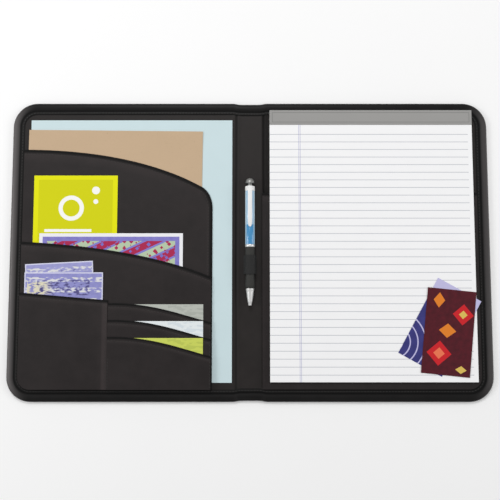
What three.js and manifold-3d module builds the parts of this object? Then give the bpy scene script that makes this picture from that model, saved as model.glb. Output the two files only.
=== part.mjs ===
// A zipless padfolio, lying open with its inside up: two padded covers, a soft spine, a writing pad, a pen,
// pockets on the inside of the front cover and what they hold. Millimetres, +Z up.
// +X runs across the open covers to the pad, +Y to the head of the page, and z = 0 is the table.
import * as THREE from "three";
import { mergeVertices } from "three/addons/utils/BufferGeometryUtils.js";
import Module from "manifold-3d";

const wasm = await Module();
wasm.setup();

// Paper that the padfolio is made to hold
const paperWidth = 216;
const paperHeight = 279;

// Covers and spine
const spineWidth = 20;
const cornerRadius = 26;
const leatherThickness = 1.0;
const foamThickness = 0.8;
const boardThickness = 1.8;
const liningThickness = 0.8;

// Edge binding
const bindingOutside = 8;
const bindingInside = 13;
const bindingThickness = 0.8;
const bindingRim = 1.2;
const bindingRecess = 0.4;
const seamGap = 0.3;
const foldRelief = 1.2;

// Bowed seams of the front cover's outside, each as its distance from an edge at the head, waist and foot
const spineSeamHead = 41.5;
const spineSeamWaist = 22;
const spineSeamFoot = 38.7;
const edgeSeamHead = 50;
const edgeSeamWaist = 35.7;
const edgeSeamFoot = 54;
const waistY = 6;
const weltWidth = 3;
const outsidePocketTop = 10;
const outsidePocketThickness = 0.5;

// Thin layers inside
const sheetThickness = 0.3;
const pocketThickness = 0.5;
const layerGap = 0.1;
const pocketHem = 1.6;
const foldMargin = 9;
const sheetPlay = 5.1;
const sheetHeadRoom = 5.7;

// Pockets: how far each reaches up from the foot of the lining
const documentPocketDepth = 252.2;
const documentPocketFall = 52.5;
const shoulderRun = 13;
const shoulderRise = 13.5;
const shoulderRadius = 10;
const photoPocketDepth = 153.2;
const photoPocketFall = 37.5;
const ticketPocketDepth = 99.7;
const ticketPocketFall = 8;
const slotFall = 20;
const slotPitch = 17.5;
const slotNames = ["upper", "middle", "lower"];

// What the pockets hold
const kraftWidth = 186.5;
const kraftHeight = 250;
const kraftPlay = 1.8;
const kraftHeadRoom = 17.2;
const kraftTurn = -0.6;
const noteWidth = 89;
const noteHeight = 127;
const notePlay = 10.1;
const noteShow = 72;
const photoWidth = 152;
const photoHeight = 102;
const photoPlay = 17.1;
const photoShow = 10;
const frontTicketWidth = 82.5;
const rearTicketWidth = 71.5;
const ticketHeight = 54;
const ticketPlay = 3.1;
const ticketSideRoom = 3.6;
const rearTicketShow = 32.5;
const rearTicketTurn = 3;
const frontTicketShow = 22;
const cardLength = 89;
const cardWidth = 51;
const cardPlay = 9.4;
const cardSideRoom = 6.4;
const cardFootRoom = 0.6;
const cardShow = 0.5;

// Writing pad
const padTearHeight = 272;
const padHeaderHeight = 16;
const padHeaderThickness = 0.4;
const padFoldMargin = 11;
const padFootRoom = 6.1;
const backingThickness = 0.6;
const sheetBlockThickness = 2.6;
const padPocketDepth = 205.7;
const padPocketMargin = 3;
const padClearance = 0.3;

// Two cards lying on the pad, each by its centre from the pad's lower right corner and its turn in degrees
const rearLooseIn = 39;
const rearLooseUp = 57;
const rearLooseTurn = 61;
const frontLooseIn = 30;
const frontLooseUp = 51.5;
const frontLooseTurn = 84;

// Pen and its loop
const penTipY = -58.7;
const penConeLength = 17.7;
const penGripLength = 43.5;
const penBarrelLength = 64.5;
const penButtonLength = 9;
const penRadius = 5.1;
const gripRadius = 5.0;
const gripWall = 1.2;
const gripWaist = 0.5;
const gripTaper = 0.7;
const barrelWall = 1.1;
const refillRadius = 1.6;
const refillPointRadius = 0.7;
const refillPointLength = 1.4;
const refillShoulder = 1;
const tipShoulder = 0.2;
const tipWall = 0.7;
const buttonTravel = 3;
const buttonStem = 22;
const domeStep = 0.4;
const clipWidth = 4.2;
const clipThickness = 1.2;
const clipLength = 43;
const clipHeel = 3;
const clipCollarLength = 5;
const clipCollarWall = 0.5;
const clipStandOff = 0.5;
const penClearance = 0.3;
const loopThickness = 0.6;
const loopWidth = 20;
const loopCentreY = -16;
const loopTabWidth = 14;
const loopTabThickness = 0.7;

// Levels worked out from the layers
const foamLevel = leatherThickness;
const boardLevel = foamLevel + foamThickness;
const liningLevel = boardLevel + boardThickness;
const insideLevel = liningLevel + liningThickness;
const contentLevel = insideLevel + bindingThickness + layerGap;
const layerInset = bindingRim + seamGap;
const faceInset = bindingOutside + seamGap;
const liningInset = bindingInside + seamGap;
const coverWidth = foldMargin + paperWidth + sheetPlay + pocketHem + liningInset;
const coverHeight = sheetHeadRoom + paperHeight + sheetPlay + pocketHem + 2 * liningInset;
const halfHeight = coverHeight / 2;
const foldX = spineWidth / 2;
const edgeX = foldX + coverWidth;
const spineSeam = { head: spineSeamHead, waist: spineSeamWaist, foot: spineSeamFoot };
const edgeSeam = { head: edgeSeamHead, waist: edgeSeamWaist, foot: edgeSeamFoot };

const leather = { color: 0x242422, roughness: 0.5 };
const trimLeather = { color: 0x2c2b2a, roughness: 0.55 };
const foam = { color: 0x8a8a86, roughness: 0.95 };
const board = { color: 0x9b8a72, roughness: 0.9 };
const liningCloth = { color: 0x2e2a29, roughness: 0.8 };
const pocketCloth = { color: 0x332f2f, roughness: 0.75 };
const elastic = { color: 0x141414, roughness: 0.9 };
const whitePaper = { color: 0xf4f5f6, roughness: 0.85 };
const headerPaper = { color: 0x9d9c9a, roughness: 0.7 };
const greyBoard = { color: 0xa8a49c, roughness: 0.9 };
const bluePaper = { color: 0xc9dbdf, roughness: 0.85 };
const kraftPaper = { color: 0xc7ad8f, roughness: 0.9 };
const limeCard = { color: 0xd7d72c, roughness: 0.5 };
const photoPaper = { color: 0x7b74b8, roughness: 0.35 };
const lilacCard = { color: 0xa5a5e1, roughness: 0.5 };
const maroonCard = { color: 0x5c1420, roughness: 0.35 };
const navyCard = { color: 0x39397a, roughness: 0.35 };
const slotCardColours = [0xb9bdb6, 0xe8eef0, 0xcdd764];
const bluePlastic = { color: 0x4f9ed0, roughness: 0.25 };
const whitePlastic = { color: 0xe9edf0, roughness: 0.25 };
const blackRubber = { color: 0x343432, roughness: 0.8 };
const silver = { color: 0xc9c9c7, roughness: 0.25, metalness: 1.0 };
const refillTube = { color: 0xc4bfae, roughness: 0.4 };

const padfolio = new THREE.Group();

function addPiece(name, geometry, finish) {
  const mesh = new THREE.Mesh(geometry, new THREE.MeshStandardMaterial(finish));
  mesh.name = name;
  padfolio.add(mesh);
}

// Solids for joining and cutting

function toSolid(geometry) {
  const bare = geometry.clone();
  bare.deleteAttribute("normal");
  bare.deleteAttribute("uv");
  const merged = mergeVertices(bare, 1e-4);
  const vertProperties = new Float32Array(merged.attributes.position.array);
  const triVerts = new Uint32Array(merged.index.array);
  return new wasm.Manifold(new wasm.Mesh({ numProp: 3, vertProperties, triVerts }));
}

function toGeometry(solid) {
  const mesh = solid.getMesh();
  const geometry = new THREE.BufferGeometry();
  geometry.setAttribute("position", new THREE.BufferAttribute(mesh.vertProperties, 3));
  geometry.setIndex(new THREE.BufferAttribute(mesh.triVerts, 1));
  return geometry;
}

function join(...geometries) {
  return toGeometry(geometries.map(toSolid).reduce((whole, next) => whole.add(next)));
}

function cut(geometry, ...tools) {
  return toGeometry(tools.map(toSolid).reduce((rest, tool) => rest.subtract(tool), toSolid(geometry)));
}

// A flat piece of the given outline between two levels
function slab(outline, bottom, top) {
  const shape = new THREE.Shape(outline);
  const geometry = new THREE.ExtrudeGeometry(shape, { depth: top - bottom, bevelEnabled: false });
  return geometry.translate(0, 0, bottom);
}

function rectangle(left, right, low, high) {
  return [
    new THREE.Vector2(left, low),
    new THREE.Vector2(right, low),
    new THREE.Vector2(right, high),
    new THREE.Vector2(left, high),
  ];
}

// A rectangle turned about its centre
function turnedRectangle(centreX, centreY, width, height, degrees) {
  const angle = THREE.MathUtils.degToRad(degrees);
  return rectangle(-width / 2, width / 2, -height / 2, height / 2).map((point) =>
    point.rotateAround(new THREE.Vector2(), angle).add(new THREE.Vector2(centreX, centreY)),
  );
}

// A cover's edge drawn in by an inset, from the foot of the fold round the fore-edge to its head.
// side is 1 for the back cover and -1 for the front one.
function coverEdge(side, inset, foldGap = 0) {
  const far = edgeX - inset;
  const top = halfHeight - inset;
  const radius = cornerRadius - inset;
  const path = new THREE.Path();
  path.moveTo(foldX + foldGap, -top);
  path.lineTo(far - radius, -top);
  path.absarc(far - radius, radius - top, radius, -Math.PI / 2, 0);
  path.absarc(far - radius, top - radius, radius, 0, Math.PI / 2);
  path.lineTo(foldX + foldGap, top);
  return path.getPoints(8).map((point) => new THREE.Vector2(side * point.x, point.y));
}

// The band between two insets of a cover's edge
function edgeBand(side, outer, inner, foldGap) {
  return [...coverEdge(side, outer, foldGap), ...coverEdge(side, inner, foldGap).reverse()];
}

// The binding of a cover: a channel round three sides, folded over the outside and the inside
function coverBinding(side) {
  const lipTop = insideLevel + bindingThickness;
  return join(
    slab(edgeBand(side, 0, bindingRim, 0), bindingRecess, insideLevel),
    slab(edgeBand(side, 0, bindingOutside, 0), bindingRecess, leatherThickness),
    slab(edgeBand(side, 0, bindingRim, foldRelief), bindingRecess, lipTop),
    slab(edgeBand(side, 0, bindingInside, foldRelief), insideLevel, lipTop),
  );
}

function spineBinding(side) {
  const outer = side * halfHeight;
  const strip = (half, width, bottom, top) => {
    const inner = side * (halfHeight - width);
    return slab(rectangle(-half, half, Math.min(inner, outer), Math.max(inner, outer)), bottom, top);
  };
  const lipTop = insideLevel + bindingThickness;
  const lipHalf = foldX - foldRelief;
  return join(
    strip(foldX, bindingRim, bindingRecess, insideLevel),
    strip(foldX, bindingOutside, bindingRecess, leatherThickness),
    strip(lipHalf, bindingRim, bindingRecess, lipTop),
    strip(lipHalf, bindingInside, insideLevel, lipTop),
  );
}

function buildCoverLayers(name, side) {
  const edge = coverEdge(side, layerInset);
  addPiece(`${name}_foam`, slab(edge, foamLevel, boardLevel), foam);
  addPiece(`${name}_board`, slab(edge, boardLevel, liningLevel), board);
  addPiece(`${name}_lining`, slab(edge, liningLevel, insideLevel), liningCloth);
  addPiece(`${name}_binding`, coverBinding(side), trimLeather);
}

// How far a bowed seam lies from its edge at height y
function seamDistance(seam, y) {
  const end = y > waistY ? halfHeight - faceInset : faceInset - halfHeight;
  const share = (y - waistY) / (end - waistY);
  const reach = y > waistY ? seam.head : seam.foot;
  return seam.waist + (reach - seam.waist) * share * share;
}

// The line of a bowed seam on the front cover, from its foot to its head, moved sideways by shift
function seamLine(seam, fromFold, shift, low = faceInset - halfHeight, high = halfHeight - faceInset) {
  const steps = 20;
  return Array.from({ length: steps + 1 }, (_, i) => {
    const y = low + ((high - low) * i) / steps;
    const distance = seamDistance(seam, y);
    const x = fromFold ? -foldX - distance : distance - edgeX;
    return new THREE.Vector2(x + shift, y);
  });
}

// The band of the given width along a bowed seam
function seamBand(seam, fromFold, width) {
  return [...seamLine(seam, fromFold, -width / 2), ...seamLine(seam, fromFold, width / 2).reverse()];
}

function buildFrontLeather() {
  const top = halfHeight - faceInset;
  const clear = weltWidth / 2 + seamGap;
  const spineSide = [
    ...seamLine(spineSeam, true, clear),
    new THREE.Vector2(-foldX, top),
    new THREE.Vector2(-foldX, -top),
  ];
  addPiece("front_spine_side_panel", slab(spineSide, 0, leatherThickness), leather);
  const centre = [...seamLine(edgeSeam, false, clear), ...seamLine(spineSeam, true, -clear).reverse()];
  addPiece("front_centre_panel", slab(centre, 0, leatherThickness), leather);
  addPiece("spine_side_welt", slab(seamBand(spineSeam, true, weltWidth), 0, leatherThickness), trimLeather);
  addPiece("fore_edge_welt", slab(seamBand(edgeSeam, false, weltWidth), 0, leatherThickness), trimLeather);
  const foreEdge = coverEdge(-1, faceInset).filter((point) => point.x < -edgeX + edgeSeam.waist);
  const edgePanel = [...foreEdge, ...seamLine(edgeSeam, false, -clear).reverse()];
  addPiece("front_edge_panel", slab(edgePanel, outsidePocketThickness, leatherThickness), leather);
  const lowFore = foreEdge.filter((point) => point.y < 0);
  const pocket = [
    ...lowFore,
    new THREE.Vector2(faceInset - edgeX, outsidePocketTop),
    ...seamLine(edgeSeam, false, -clear, -top, outsidePocketTop).reverse(),
  ];
  addPiece("outside_pocket", slab(pocket, 0, outsidePocketThickness), leather);
}

function buildBackLeather() {
  addPiece("back_leather", slab(coverEdge(1, faceInset), 0, leatherThickness), leather);
}

function buildSpine() {
  const strip = (half, bottom, top) => slab(rectangle(-foldX, foldX, -half, half), bottom, top);
  const half = halfHeight - layerInset;
  addPiece("spine_leather", strip(halfHeight - faceInset, 0, leatherThickness), leather);
  addPiece("spine_foam", strip(half, foamLevel, boardLevel), foam);
  addPiece("spine_stiffener", strip(half, boardLevel, liningLevel), board);
  addPiece("spine_lining", strip(half, liningLevel, insideLevel), liningCloth);
  addPiece("spine_head_binding", spineBinding(1), trimLeather);
  addPiece("spine_foot_binding", spineBinding(-1), trimLeather);
}

// The inside pockets of the front cover share the lining's left edge, rounded foot corner and foot
function pocketOutline(right, topEdge) {
  const radius = cornerRadius - liningInset;
  const corner = new THREE.Path();
  corner.absarc(pocketLeft + radius, pocketFoot + radius, radius, Math.PI, Math.PI * 1.5);
  return [...corner.getPoints(6), new THREE.Vector2(right, pocketFoot), ...topEdge];
}

// A pocket front with hems that stand down to the layer that it is sewn to, along its left edge and its foot
function hemmedPocket(outline, right, head, level, seat) {
  const radius = cornerRadius - liningInset;
  const top = level + pocketThickness;
  return join(
    slab(outline, level, top),
    slab(rectangle(pocketLeft, hemRight, pocketFoot + radius, head), seat, top),
    slab(rectangle(pocketLeft + radius, right, pocketFoot, hemTop), seat, top),
  );
}

// Points on the cubic curve that the four [x, y] controls give
function curvePoints(from, controlA, controlB, to, count) {
  const controls = [from, controlA, controlB, to].map(([x, y]) => new THREE.Vector2(x, y));
  return new THREE.CubicBezierCurve(...controls).getPoints(count);
}

// Places inside the front cover, worked out from what the pockets hold
const pocketLeft = liningInset - edgeX;
const pocketFoot = liningInset - halfHeight;
const hemRight = pocketLeft + pocketHem;
const hemTop = pocketFoot + pocketHem;
const dividerX = hemRight + ticketPlay + frontTicketWidth + ticketSideRoom + pocketHem + seamGap;
const slotCardLeft = dividerX + pocketHem + cardPlay;
const pocketRight = slotCardLeft + cardLength + cardSideRoom + pocketHem;
const documentPocketHead = pocketFoot + documentPocketDepth;
const photoPocketHead = pocketFoot + photoPocketDepth;
const ticketPocketHead = pocketFoot + ticketPocketDepth;
const slotCount = slotNames.length;
const slotCardTop = hemTop + cardFootRoom + cardWidth + (slotCount - 1) * slotPitch;
const slotHead = slotCardTop + cardShow;

const letterLevel = contentLevel;
const kraftLevel = letterLevel + sheetThickness + layerGap;
const documentPocketLevel = kraftLevel + sheetThickness + layerGap;
const noteLevel = documentPocketLevel + pocketThickness + layerGap;
const photoLevel = noteLevel + sheetThickness + layerGap;
const photoPocketLevel = photoLevel + sheetThickness + layerGap;
const slotSeat = photoPocketLevel + pocketThickness;
const ticketLevel = slotSeat + layerGap;
const ticketPocketLevel = ticketLevel + 2 * (sheetThickness + layerGap);

// The large pocket's head falls from the fore-edge to a rounded shoulder beside the spine
function buildDocumentPocket() {
  const shoulderY = documentPocketHead - documentPocketFall;
  const slopeEnd = [pocketRight - shoulderRun, shoulderY + shoulderRise];
  const shoulder = curvePoints(
    [pocketRight, shoulderY - shoulderRadius],
    [pocketRight, shoulderY],
    [pocketRight - shoulderRun * 0.3, shoulderY + shoulderRise * 0.7],
    slopeEnd,
    10,
  );
  const run = slopeEnd[0] - pocketLeft;
  const slope = curvePoints(
    slopeEnd,
    [slopeEnd[0] - run * 0.18, documentPocketHead - documentPocketFall * 0.39],
    [slopeEnd[0] - run * 0.5, documentPocketHead],
    [pocketLeft, documentPocketHead],
    14,
  );
  const outline = pocketOutline(pocketRight, [...shoulder, ...slope.slice(1)]);
  const pocket = hemmedPocket(outline, pocketRight, documentPocketHead, documentPocketLevel, insideLevel);
  addPiece("document_pocket", pocket, pocketCloth);
}

function buildPhotoPocket() {
  const foot = photoPocketHead - photoPocketFall;
  const run = pocketRight - pocketLeft;
  const head = curvePoints(
    [pocketRight, foot],
    [pocketRight - run * 0.22, foot + photoPocketFall * 0.5],
    [pocketRight - run * 0.54, foot + photoPocketFall * 0.88],
    [pocketLeft, photoPocketHead],
    16,
  );
  const outline = pocketOutline(pocketRight, head);
  const seat = documentPocketLevel + pocketThickness;
  const pocket = hemmedPocket(outline, pocketRight, photoPocketHead, photoPocketLevel, seat);
  addPiece("photo_pocket", pocket, pocketCloth);
}

function buildTicketPocket() {
  const right = dividerX - seamGap;
  const top = ticketPocketLevel + pocketThickness;
  const sideTop = ticketPocketHead - ticketPocketFall;
  const outline = pocketOutline(right, [
    new THREE.Vector2(right, sideTop),
    new THREE.Vector2(pocketLeft, ticketPocketHead),
  ]);
  const side = slab(rectangle(right - pocketHem, right, pocketFoot, sideTop), slotSeat, top);
  const pocket = hemmedPocket(outline, right, ticketPocketHead, ticketPocketLevel, slotSeat);
  addPiece("ticket_pocket", join(pocket, side), pocketCloth);
}

// The card slots, each with a slanting head, hems on three sides and its card behind it
function buildCardSlots() {
  const left = dividerX;
  const right = pocketRight;
  const step = sheetThickness + pocketThickness + 2 * layerGap;
  slotNames.forEach((name, i) => {
    const seat = slotSeat + i * step;
    const cardLevel = seat + layerGap;
    const panelLevel = cardLevel + sheetThickness + layerGap;
    const top = panelLevel + pocketThickness;
    const head = slotHead - i * slotPitch;
    const low = head - slotFall;
    const headEdge = curvePoints(
      [right, low],
      [right - (right - left) * 0.28, head - slotFall * 0.62],
      [left + (right - left) * 0.42, head + slotFall * 0.05],
      [left, head],
      8,
    );
    const outline = [new THREE.Vector2(left, pocketFoot), new THREE.Vector2(right, pocketFoot), ...headEdge];
    const slot = join(
      slab(outline, panelLevel, top),
      slab(rectangle(left, left + pocketHem, pocketFoot, low), seat, top),
      slab(rectangle(right - pocketHem, right, pocketFoot, low), seat, top),
      slab(rectangle(left, right, pocketFoot, hemTop), seat, top),
    );
    addPiece(`card_slot_${name}`, slot, pocketCloth);
    const cardTop = slotCardTop - i * slotPitch;
    const card = rectangle(slotCardLeft, slotCardLeft + cardLength, cardTop - cardWidth, cardTop);
    const finish = { color: slotCardColours[i], roughness: 0.4 };
    addPiece(`slot_card_${name}`, slab(card, cardLevel, cardLevel + sheetThickness), finish);
  });
}

// A rectangular sheet by its left edge, its head and its size
function addSheet(name, left, head, width, height, level, finish) {
  const outline = rectangle(left, left + width, head - height, head);
  addPiece(name, slab(outline, level, level + sheetThickness), finish);
}

function buildPocketContents() {
  const letterHead = halfHeight - liningInset - sheetHeadRoom;
  const letterLeft = -foldX - foldMargin - paperWidth;
  addSheet("letter_paper", letterLeft, letterHead, paperWidth, paperHeight, letterLevel, bluePaper);
  const kraftHead = halfHeight - liningInset - kraftHeadRoom;
  const kraftX = hemRight + kraftPlay + kraftWidth / 2;
  const kraft = turnedRectangle(kraftX, kraftHead - kraftHeight / 2, kraftWidth, kraftHeight, kraftTurn);
  addPiece("kraft_sheet", slab(kraft, kraftLevel, kraftLevel + sheetThickness), kraftPaper);
  const noteHead = photoPocketHead + noteShow;
  addSheet("note_card", hemRight + notePlay, noteHead, noteWidth, noteHeight, noteLevel, limeCard);
  const photoHead = photoPocketHead + photoShow;
  addSheet("photo_print", hemRight + photoPlay, photoHead, photoWidth, photoHeight, photoLevel, photoPaper);
  const ticketLeft = hemRight + ticketPlay;
  const rearCentreY = ticketPocketHead + rearTicketShow - ticketHeight / 2;
  const turn = THREE.MathUtils.degToRad(rearTicketTurn);
  const rearSpan = rearTicketWidth * Math.cos(turn) + ticketHeight * Math.abs(Math.sin(turn));
  const rear = turnedRectangle(
    ticketLeft + rearSpan / 2,
    rearCentreY,
    rearTicketWidth,
    ticketHeight,
    rearTicketTurn,
  );
  addPiece("rear_ticket", slab(rear, ticketLevel, ticketLevel + sheetThickness), lilacCard);
  const frontHead = ticketPocketHead + frontTicketShow;
  const frontLevel = ticketLevel + sheetThickness + layerGap;
  addSheet("front_ticket", ticketLeft, frontHead, frontTicketWidth, ticketHeight, frontLevel, lilacCard);
}

// Places and levels of the writing pad: its backing card goes under the pad pocket, its sheets lie over it
const padLeft = foldX + padFoldMargin;
const padRight = padLeft + paperWidth;
const padFoot = hemTop + padFootRoom;
const padHeaderFoot = padFoot + padTearHeight;
const padHead = padHeaderFoot + padHeaderHeight;
const padBlockHead = padHead - padHeaderThickness;
const backingLevel = contentLevel;
const padPocketLevel = backingLevel + backingThickness + padClearance;
const blockLevel = padPocketLevel + pocketThickness + padClearance;
const topSheetLevel = blockLevel + sheetBlockThickness + layerGap;
const headerLevel = topSheetLevel + sheetThickness + layerGap;

function buildPad() {
  const block = rectangle(padLeft, padRight, padFoot, padBlockHead);
  addPiece("pad_backing", slab(block, backingLevel, backingLevel + backingThickness), greyBoard);
  addPiece("pad_sheets", slab(block, blockLevel, blockLevel + sheetBlockThickness), whitePaper);
  const headerTop = headerLevel + padHeaderThickness;
  const overSheets = rectangle(padLeft, padRight, padHeaderFoot + layerGap, padHead);
  const header = join(
    slab(rectangle(padLeft, padRight, padHeaderFoot, padHead), headerLevel, headerTop),
    slab(rectangle(padLeft, padRight, padBlockHead, padHead), backingLevel, headerTop),
    slab(overSheets, blockLevel + sheetBlockThickness, headerTop),
  );
  addPiece("pad_header", header, headerPaper);
  const topSheet = rectangle(padLeft, padRight, padFoot, padHeaderFoot - layerGap);
  addPiece("top_sheet", slab(topSheet, topSheetLevel, topSheetLevel + sheetThickness), whitePaper);
}

// The pad pocket, with hems down to the lining at the fold and at the foot and a rounded outer foot corner
function buildPadPocket() {
  const left = foldX + padPocketMargin;
  const right = -pocketLeft;
  const head = pocketFoot + padPocketDepth;
  const top = padPocketLevel + pocketThickness;
  const radius = cornerRadius - liningInset;
  const outline = pocketOutline(-left, [new THREE.Vector2(-left, head), new THREE.Vector2(pocketLeft, head)]);
  const mirrored = outline.map((point) => new THREE.Vector2(-point.x, point.y));
  const pocket = join(
    slab(mirrored, padPocketLevel, top),
    slab(rectangle(left, left + pocketHem, pocketFoot, head), insideLevel, top),
    slab(rectangle(left, right - radius, pocketFoot, hemTop), insideLevel, top),
  );
  addPiece("pad_pocket", pocket, pocketCloth);
}

function buildLooseCards() {
  const place = (inwards, up, turn) =>
    turnedRectangle(padRight - inwards, padFoot + up, cardLength, cardWidth, turn);
  const rearLevel = topSheetLevel + sheetThickness + layerGap;
  const frontLevel = rearLevel + sheetThickness + layerGap;
  const rear = place(rearLooseIn, rearLooseUp, rearLooseTurn);
  addPiece("loose_card_rear", slab(rear, rearLevel, rearLevel + sheetThickness), navyCard);
  const front = place(frontLooseIn, frontLooseUp, frontLooseTurn);
  addPiece("loose_card_front", slab(front, frontLevel, frontLevel + sheetThickness), maroonCard);
}

// Pieces turned about the pen's axis, which lies along Y above the spine
const penAxisZ = insideLevel + loopThickness + penClearance + penRadius;
const gripFoot = penTipY + penConeLength;
const barrelFoot = gripFoot + penGripLength;
const barrelHead = barrelFoot + penBarrelLength;
const penHead = barrelHead + penButtonLength;
const collarFoot = barrelHead - clipCollarLength;
const coreRadius = gripRadius - gripWall - layerGap;
const boreRadius = coreRadius - barrelWall;
const stemFoot = barrelHead - buttonStem;

function turned(profile, sides = 24) {
  const points = profile.map(([radius, y]) => new THREE.Vector2(radius, y));
  return new THREE.LatheGeometry(points, sides).translate(0, 0, penAxisZ);
}

function turnedRing(outer, bore) {
  return turned([...outer, ...bore.toReversed(), outer[0]]);
}

function buildPenBody() {
  const seatRadius = penRadius - clipCollarWall;
  const barrel = turnedRing(
    [
      [coreRadius, gripFoot + layerGap],
      [coreRadius, barrelFoot],
      [penRadius, barrelFoot],
      [penRadius, collarFoot],
      [seatRadius, collarFoot],
      [seatRadius, barrelHead],
    ],
    [
      [boreRadius, gripFoot + layerGap],
      [boreRadius, barrelHead],
    ],
  );
  addPiece("pen_barrel", barrel, bluePlastic);
  const gripHead = barrelFoot - layerGap;
  const grip = turnedRing(
    [
      [gripRadius - gripTaper, gripFoot],
      [gripRadius, gripFoot + penGripLength * 0.07],
      [gripRadius - gripWaist, gripFoot + penGripLength * 0.35],
      [gripRadius, gripFoot + penGripLength * 0.85],
      [gripRadius, gripHead],
    ],
    [
      [gripRadius - gripWall, gripFoot],
      [gripRadius - gripWall, gripHead],
    ],
  );
  addPiece("pen_grip", grip, blackRubber);
  const pointBore = refillPointRadius + penClearance;
  const coneHead = gripFoot - layerGap;
  const cone = turnedRing(
    [
      [pointBore + tipWall, penTipY],
      [pointBore + tipWall * 1.7, penTipY + penConeLength * 0.17],
      [gripRadius - gripTaper - tipShoulder, penTipY + penConeLength * 0.88],
      [gripRadius - gripTaper, coneHead],
    ],
    [
      [pointBore, penTipY],
      [pointBore, penTipY + penConeLength * 0.23],
      [boreRadius, penTipY + penConeLength * 0.4],
      [boreRadius, coneHead],
    ],
  );
  addPiece("pen_tip", cone, silver);
}

// The refill stands back inside the tip at rest and comes out by the button's travel
function buildPenRefill() {
  const pointY = penTipY + penClearance * 2;
  const shoulderY = penTipY + penConeLength * 0.4 + buttonTravel;
  const refill = turned(
    [
      [0, pointY],
      [refillPointRadius / 2, pointY],
      [refillPointRadius, pointY + refillPointLength],
      [refillPointRadius, shoulderY],
      [refillRadius, shoulderY + refillShoulder],
      [refillRadius, stemFoot],
      [0, stemFoot],
    ],
    16,
  );
  addPiece("pen_refill", refill, refillTube);
  const stemRadius = boreRadius - penClearance;
  const domeRadius = penRadius - domeStep;
  const domeFoot = barrelHead + buttonTravel + penClearance;
  const domeHeight = penHead - domeFoot;
  const button = turned([
    [0, stemFoot + layerGap],
    [stemRadius, stemFoot + layerGap],
    [stemRadius, domeFoot],
    [domeRadius, domeFoot],
    [domeRadius, domeFoot + domeHeight * 0.3],
    [domeRadius * 0.88, domeFoot + domeHeight * 0.65],
    [domeRadius * 0.6, domeFoot + domeHeight * 0.9],
    [0, penHead],
  ]);
  addPiece("pen_button", button, silver);
}

function buildPenClip() {
  const foot = collarFoot + layerGap;
  const collarBore = penRadius - clipCollarWall + layerGap;
  const collar = turnedRing(
    [
      [penRadius, foot],
      [penRadius, barrelHead],
    ],
    [
      [collarBore, foot],
      [collarBore, barrelHead],
    ],
  );
  const armBottom = penAxisZ + penRadius + clipStandOff;
  const armTop = armBottom + clipThickness;
  const tail = barrelHead - clipLength;
  const half = clipWidth / 2;
  const clip = join(
    collar,
    slab(rectangle(-half, half, tail, barrelHead), armBottom, armTop),
    slab(rectangle(-half, half, foot, barrelHead), penAxisZ + collarBore + layerGap, armTop),
    slab(rectangle(-half, half, tail, tail + clipHeel), penAxisZ + penRadius + layerGap, armTop),
  );
  addPiece("pen_clip", clip, whitePlastic);
}

function buildPenLoop() {
  const inner = penRadius + penClearance;
  const outer = inner + loopThickness;
  const foot = loopCentreY - loopWidth / 2;
  const head = loopCentreY + loopWidth / 2;
  const tube = (radius, length) =>
    new THREE.CylinderGeometry(radius, radius, length, 32).translate(0, loopCentreY, penAxisZ);
  const tab = slab(
    rectangle(-loopTabWidth / 2, loopTabWidth / 2, foot, head),
    insideLevel,
    insideLevel + loopTabThickness,
  );
  const underLining = slab(rectangle(-outer, outer, foot - loopWidth, head + loopWidth), 0, insideLevel);
  const loop = cut(join(tube(outer, loopWidth), tab), tube(inner, loopWidth * 1.1), underLining);
  addPiece("pen_loop", loop, elastic);
}

buildFrontLeather();
buildCoverLayers("front", -1);
buildSpine();
buildBackLeather();
buildCoverLayers("back", 1);
buildDocumentPocket();
buildPhotoPocket();
buildTicketPocket();
buildCardSlots();
buildPocketContents();
buildPadPocket();
buildPad();
buildLooseCards();
buildPenLoop();
buildPenBody();
buildPenRefill();
buildPenClip();

export default padfolio;
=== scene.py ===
import math
from functools import cached_property

import bpy
import numpy as np
from bpy.props import FloatProperty, FloatVectorProperty, PointerProperty
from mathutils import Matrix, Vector


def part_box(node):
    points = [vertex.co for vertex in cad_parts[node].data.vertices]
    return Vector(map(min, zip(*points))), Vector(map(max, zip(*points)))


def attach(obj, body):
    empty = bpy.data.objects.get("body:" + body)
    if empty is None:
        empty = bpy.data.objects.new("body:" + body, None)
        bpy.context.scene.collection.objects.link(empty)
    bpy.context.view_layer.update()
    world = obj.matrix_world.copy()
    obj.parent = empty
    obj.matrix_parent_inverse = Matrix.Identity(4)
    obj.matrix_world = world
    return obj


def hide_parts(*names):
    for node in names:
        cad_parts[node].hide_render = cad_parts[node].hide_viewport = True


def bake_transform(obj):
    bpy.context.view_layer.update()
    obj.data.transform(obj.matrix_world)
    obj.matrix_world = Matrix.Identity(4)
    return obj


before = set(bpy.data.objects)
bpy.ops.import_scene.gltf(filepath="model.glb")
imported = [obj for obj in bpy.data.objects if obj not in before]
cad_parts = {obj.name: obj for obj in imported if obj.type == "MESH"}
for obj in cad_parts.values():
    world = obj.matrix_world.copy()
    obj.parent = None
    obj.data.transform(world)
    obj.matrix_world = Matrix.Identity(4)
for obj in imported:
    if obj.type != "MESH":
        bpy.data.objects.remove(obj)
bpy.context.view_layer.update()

bl_info = {
    "name": "Padfolio dresser",
    "version": (1, 0, 0),
    "blender": (4, 5, 0),
    "location": "View3D > Sidebar > Padfolio",
    "description": "Builds the leather, pockets, papers, pad and pen of a padfolio around its CAD frame",
    "category": "Object",
}

# Every shape below is worked out in millimetres, and turned into metres when its mesh is made
MM = 0.001


def corners(node):
    """The lowest and highest corner of a CAD node in millimetres."""
    low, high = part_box(node)
    return np.array(low) / MM, np.array(high) / MM


def srgb(red, green, blue):
    """A display colour from 0 to 255 as the linear colour that a shader takes."""
    return tuple(
        c / 12.92 if c <= 0.04045 else ((c + 0.055) / 1.055) ** 2.4
        for c in (red / 255, green / 255, blue / 255)
    )


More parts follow.
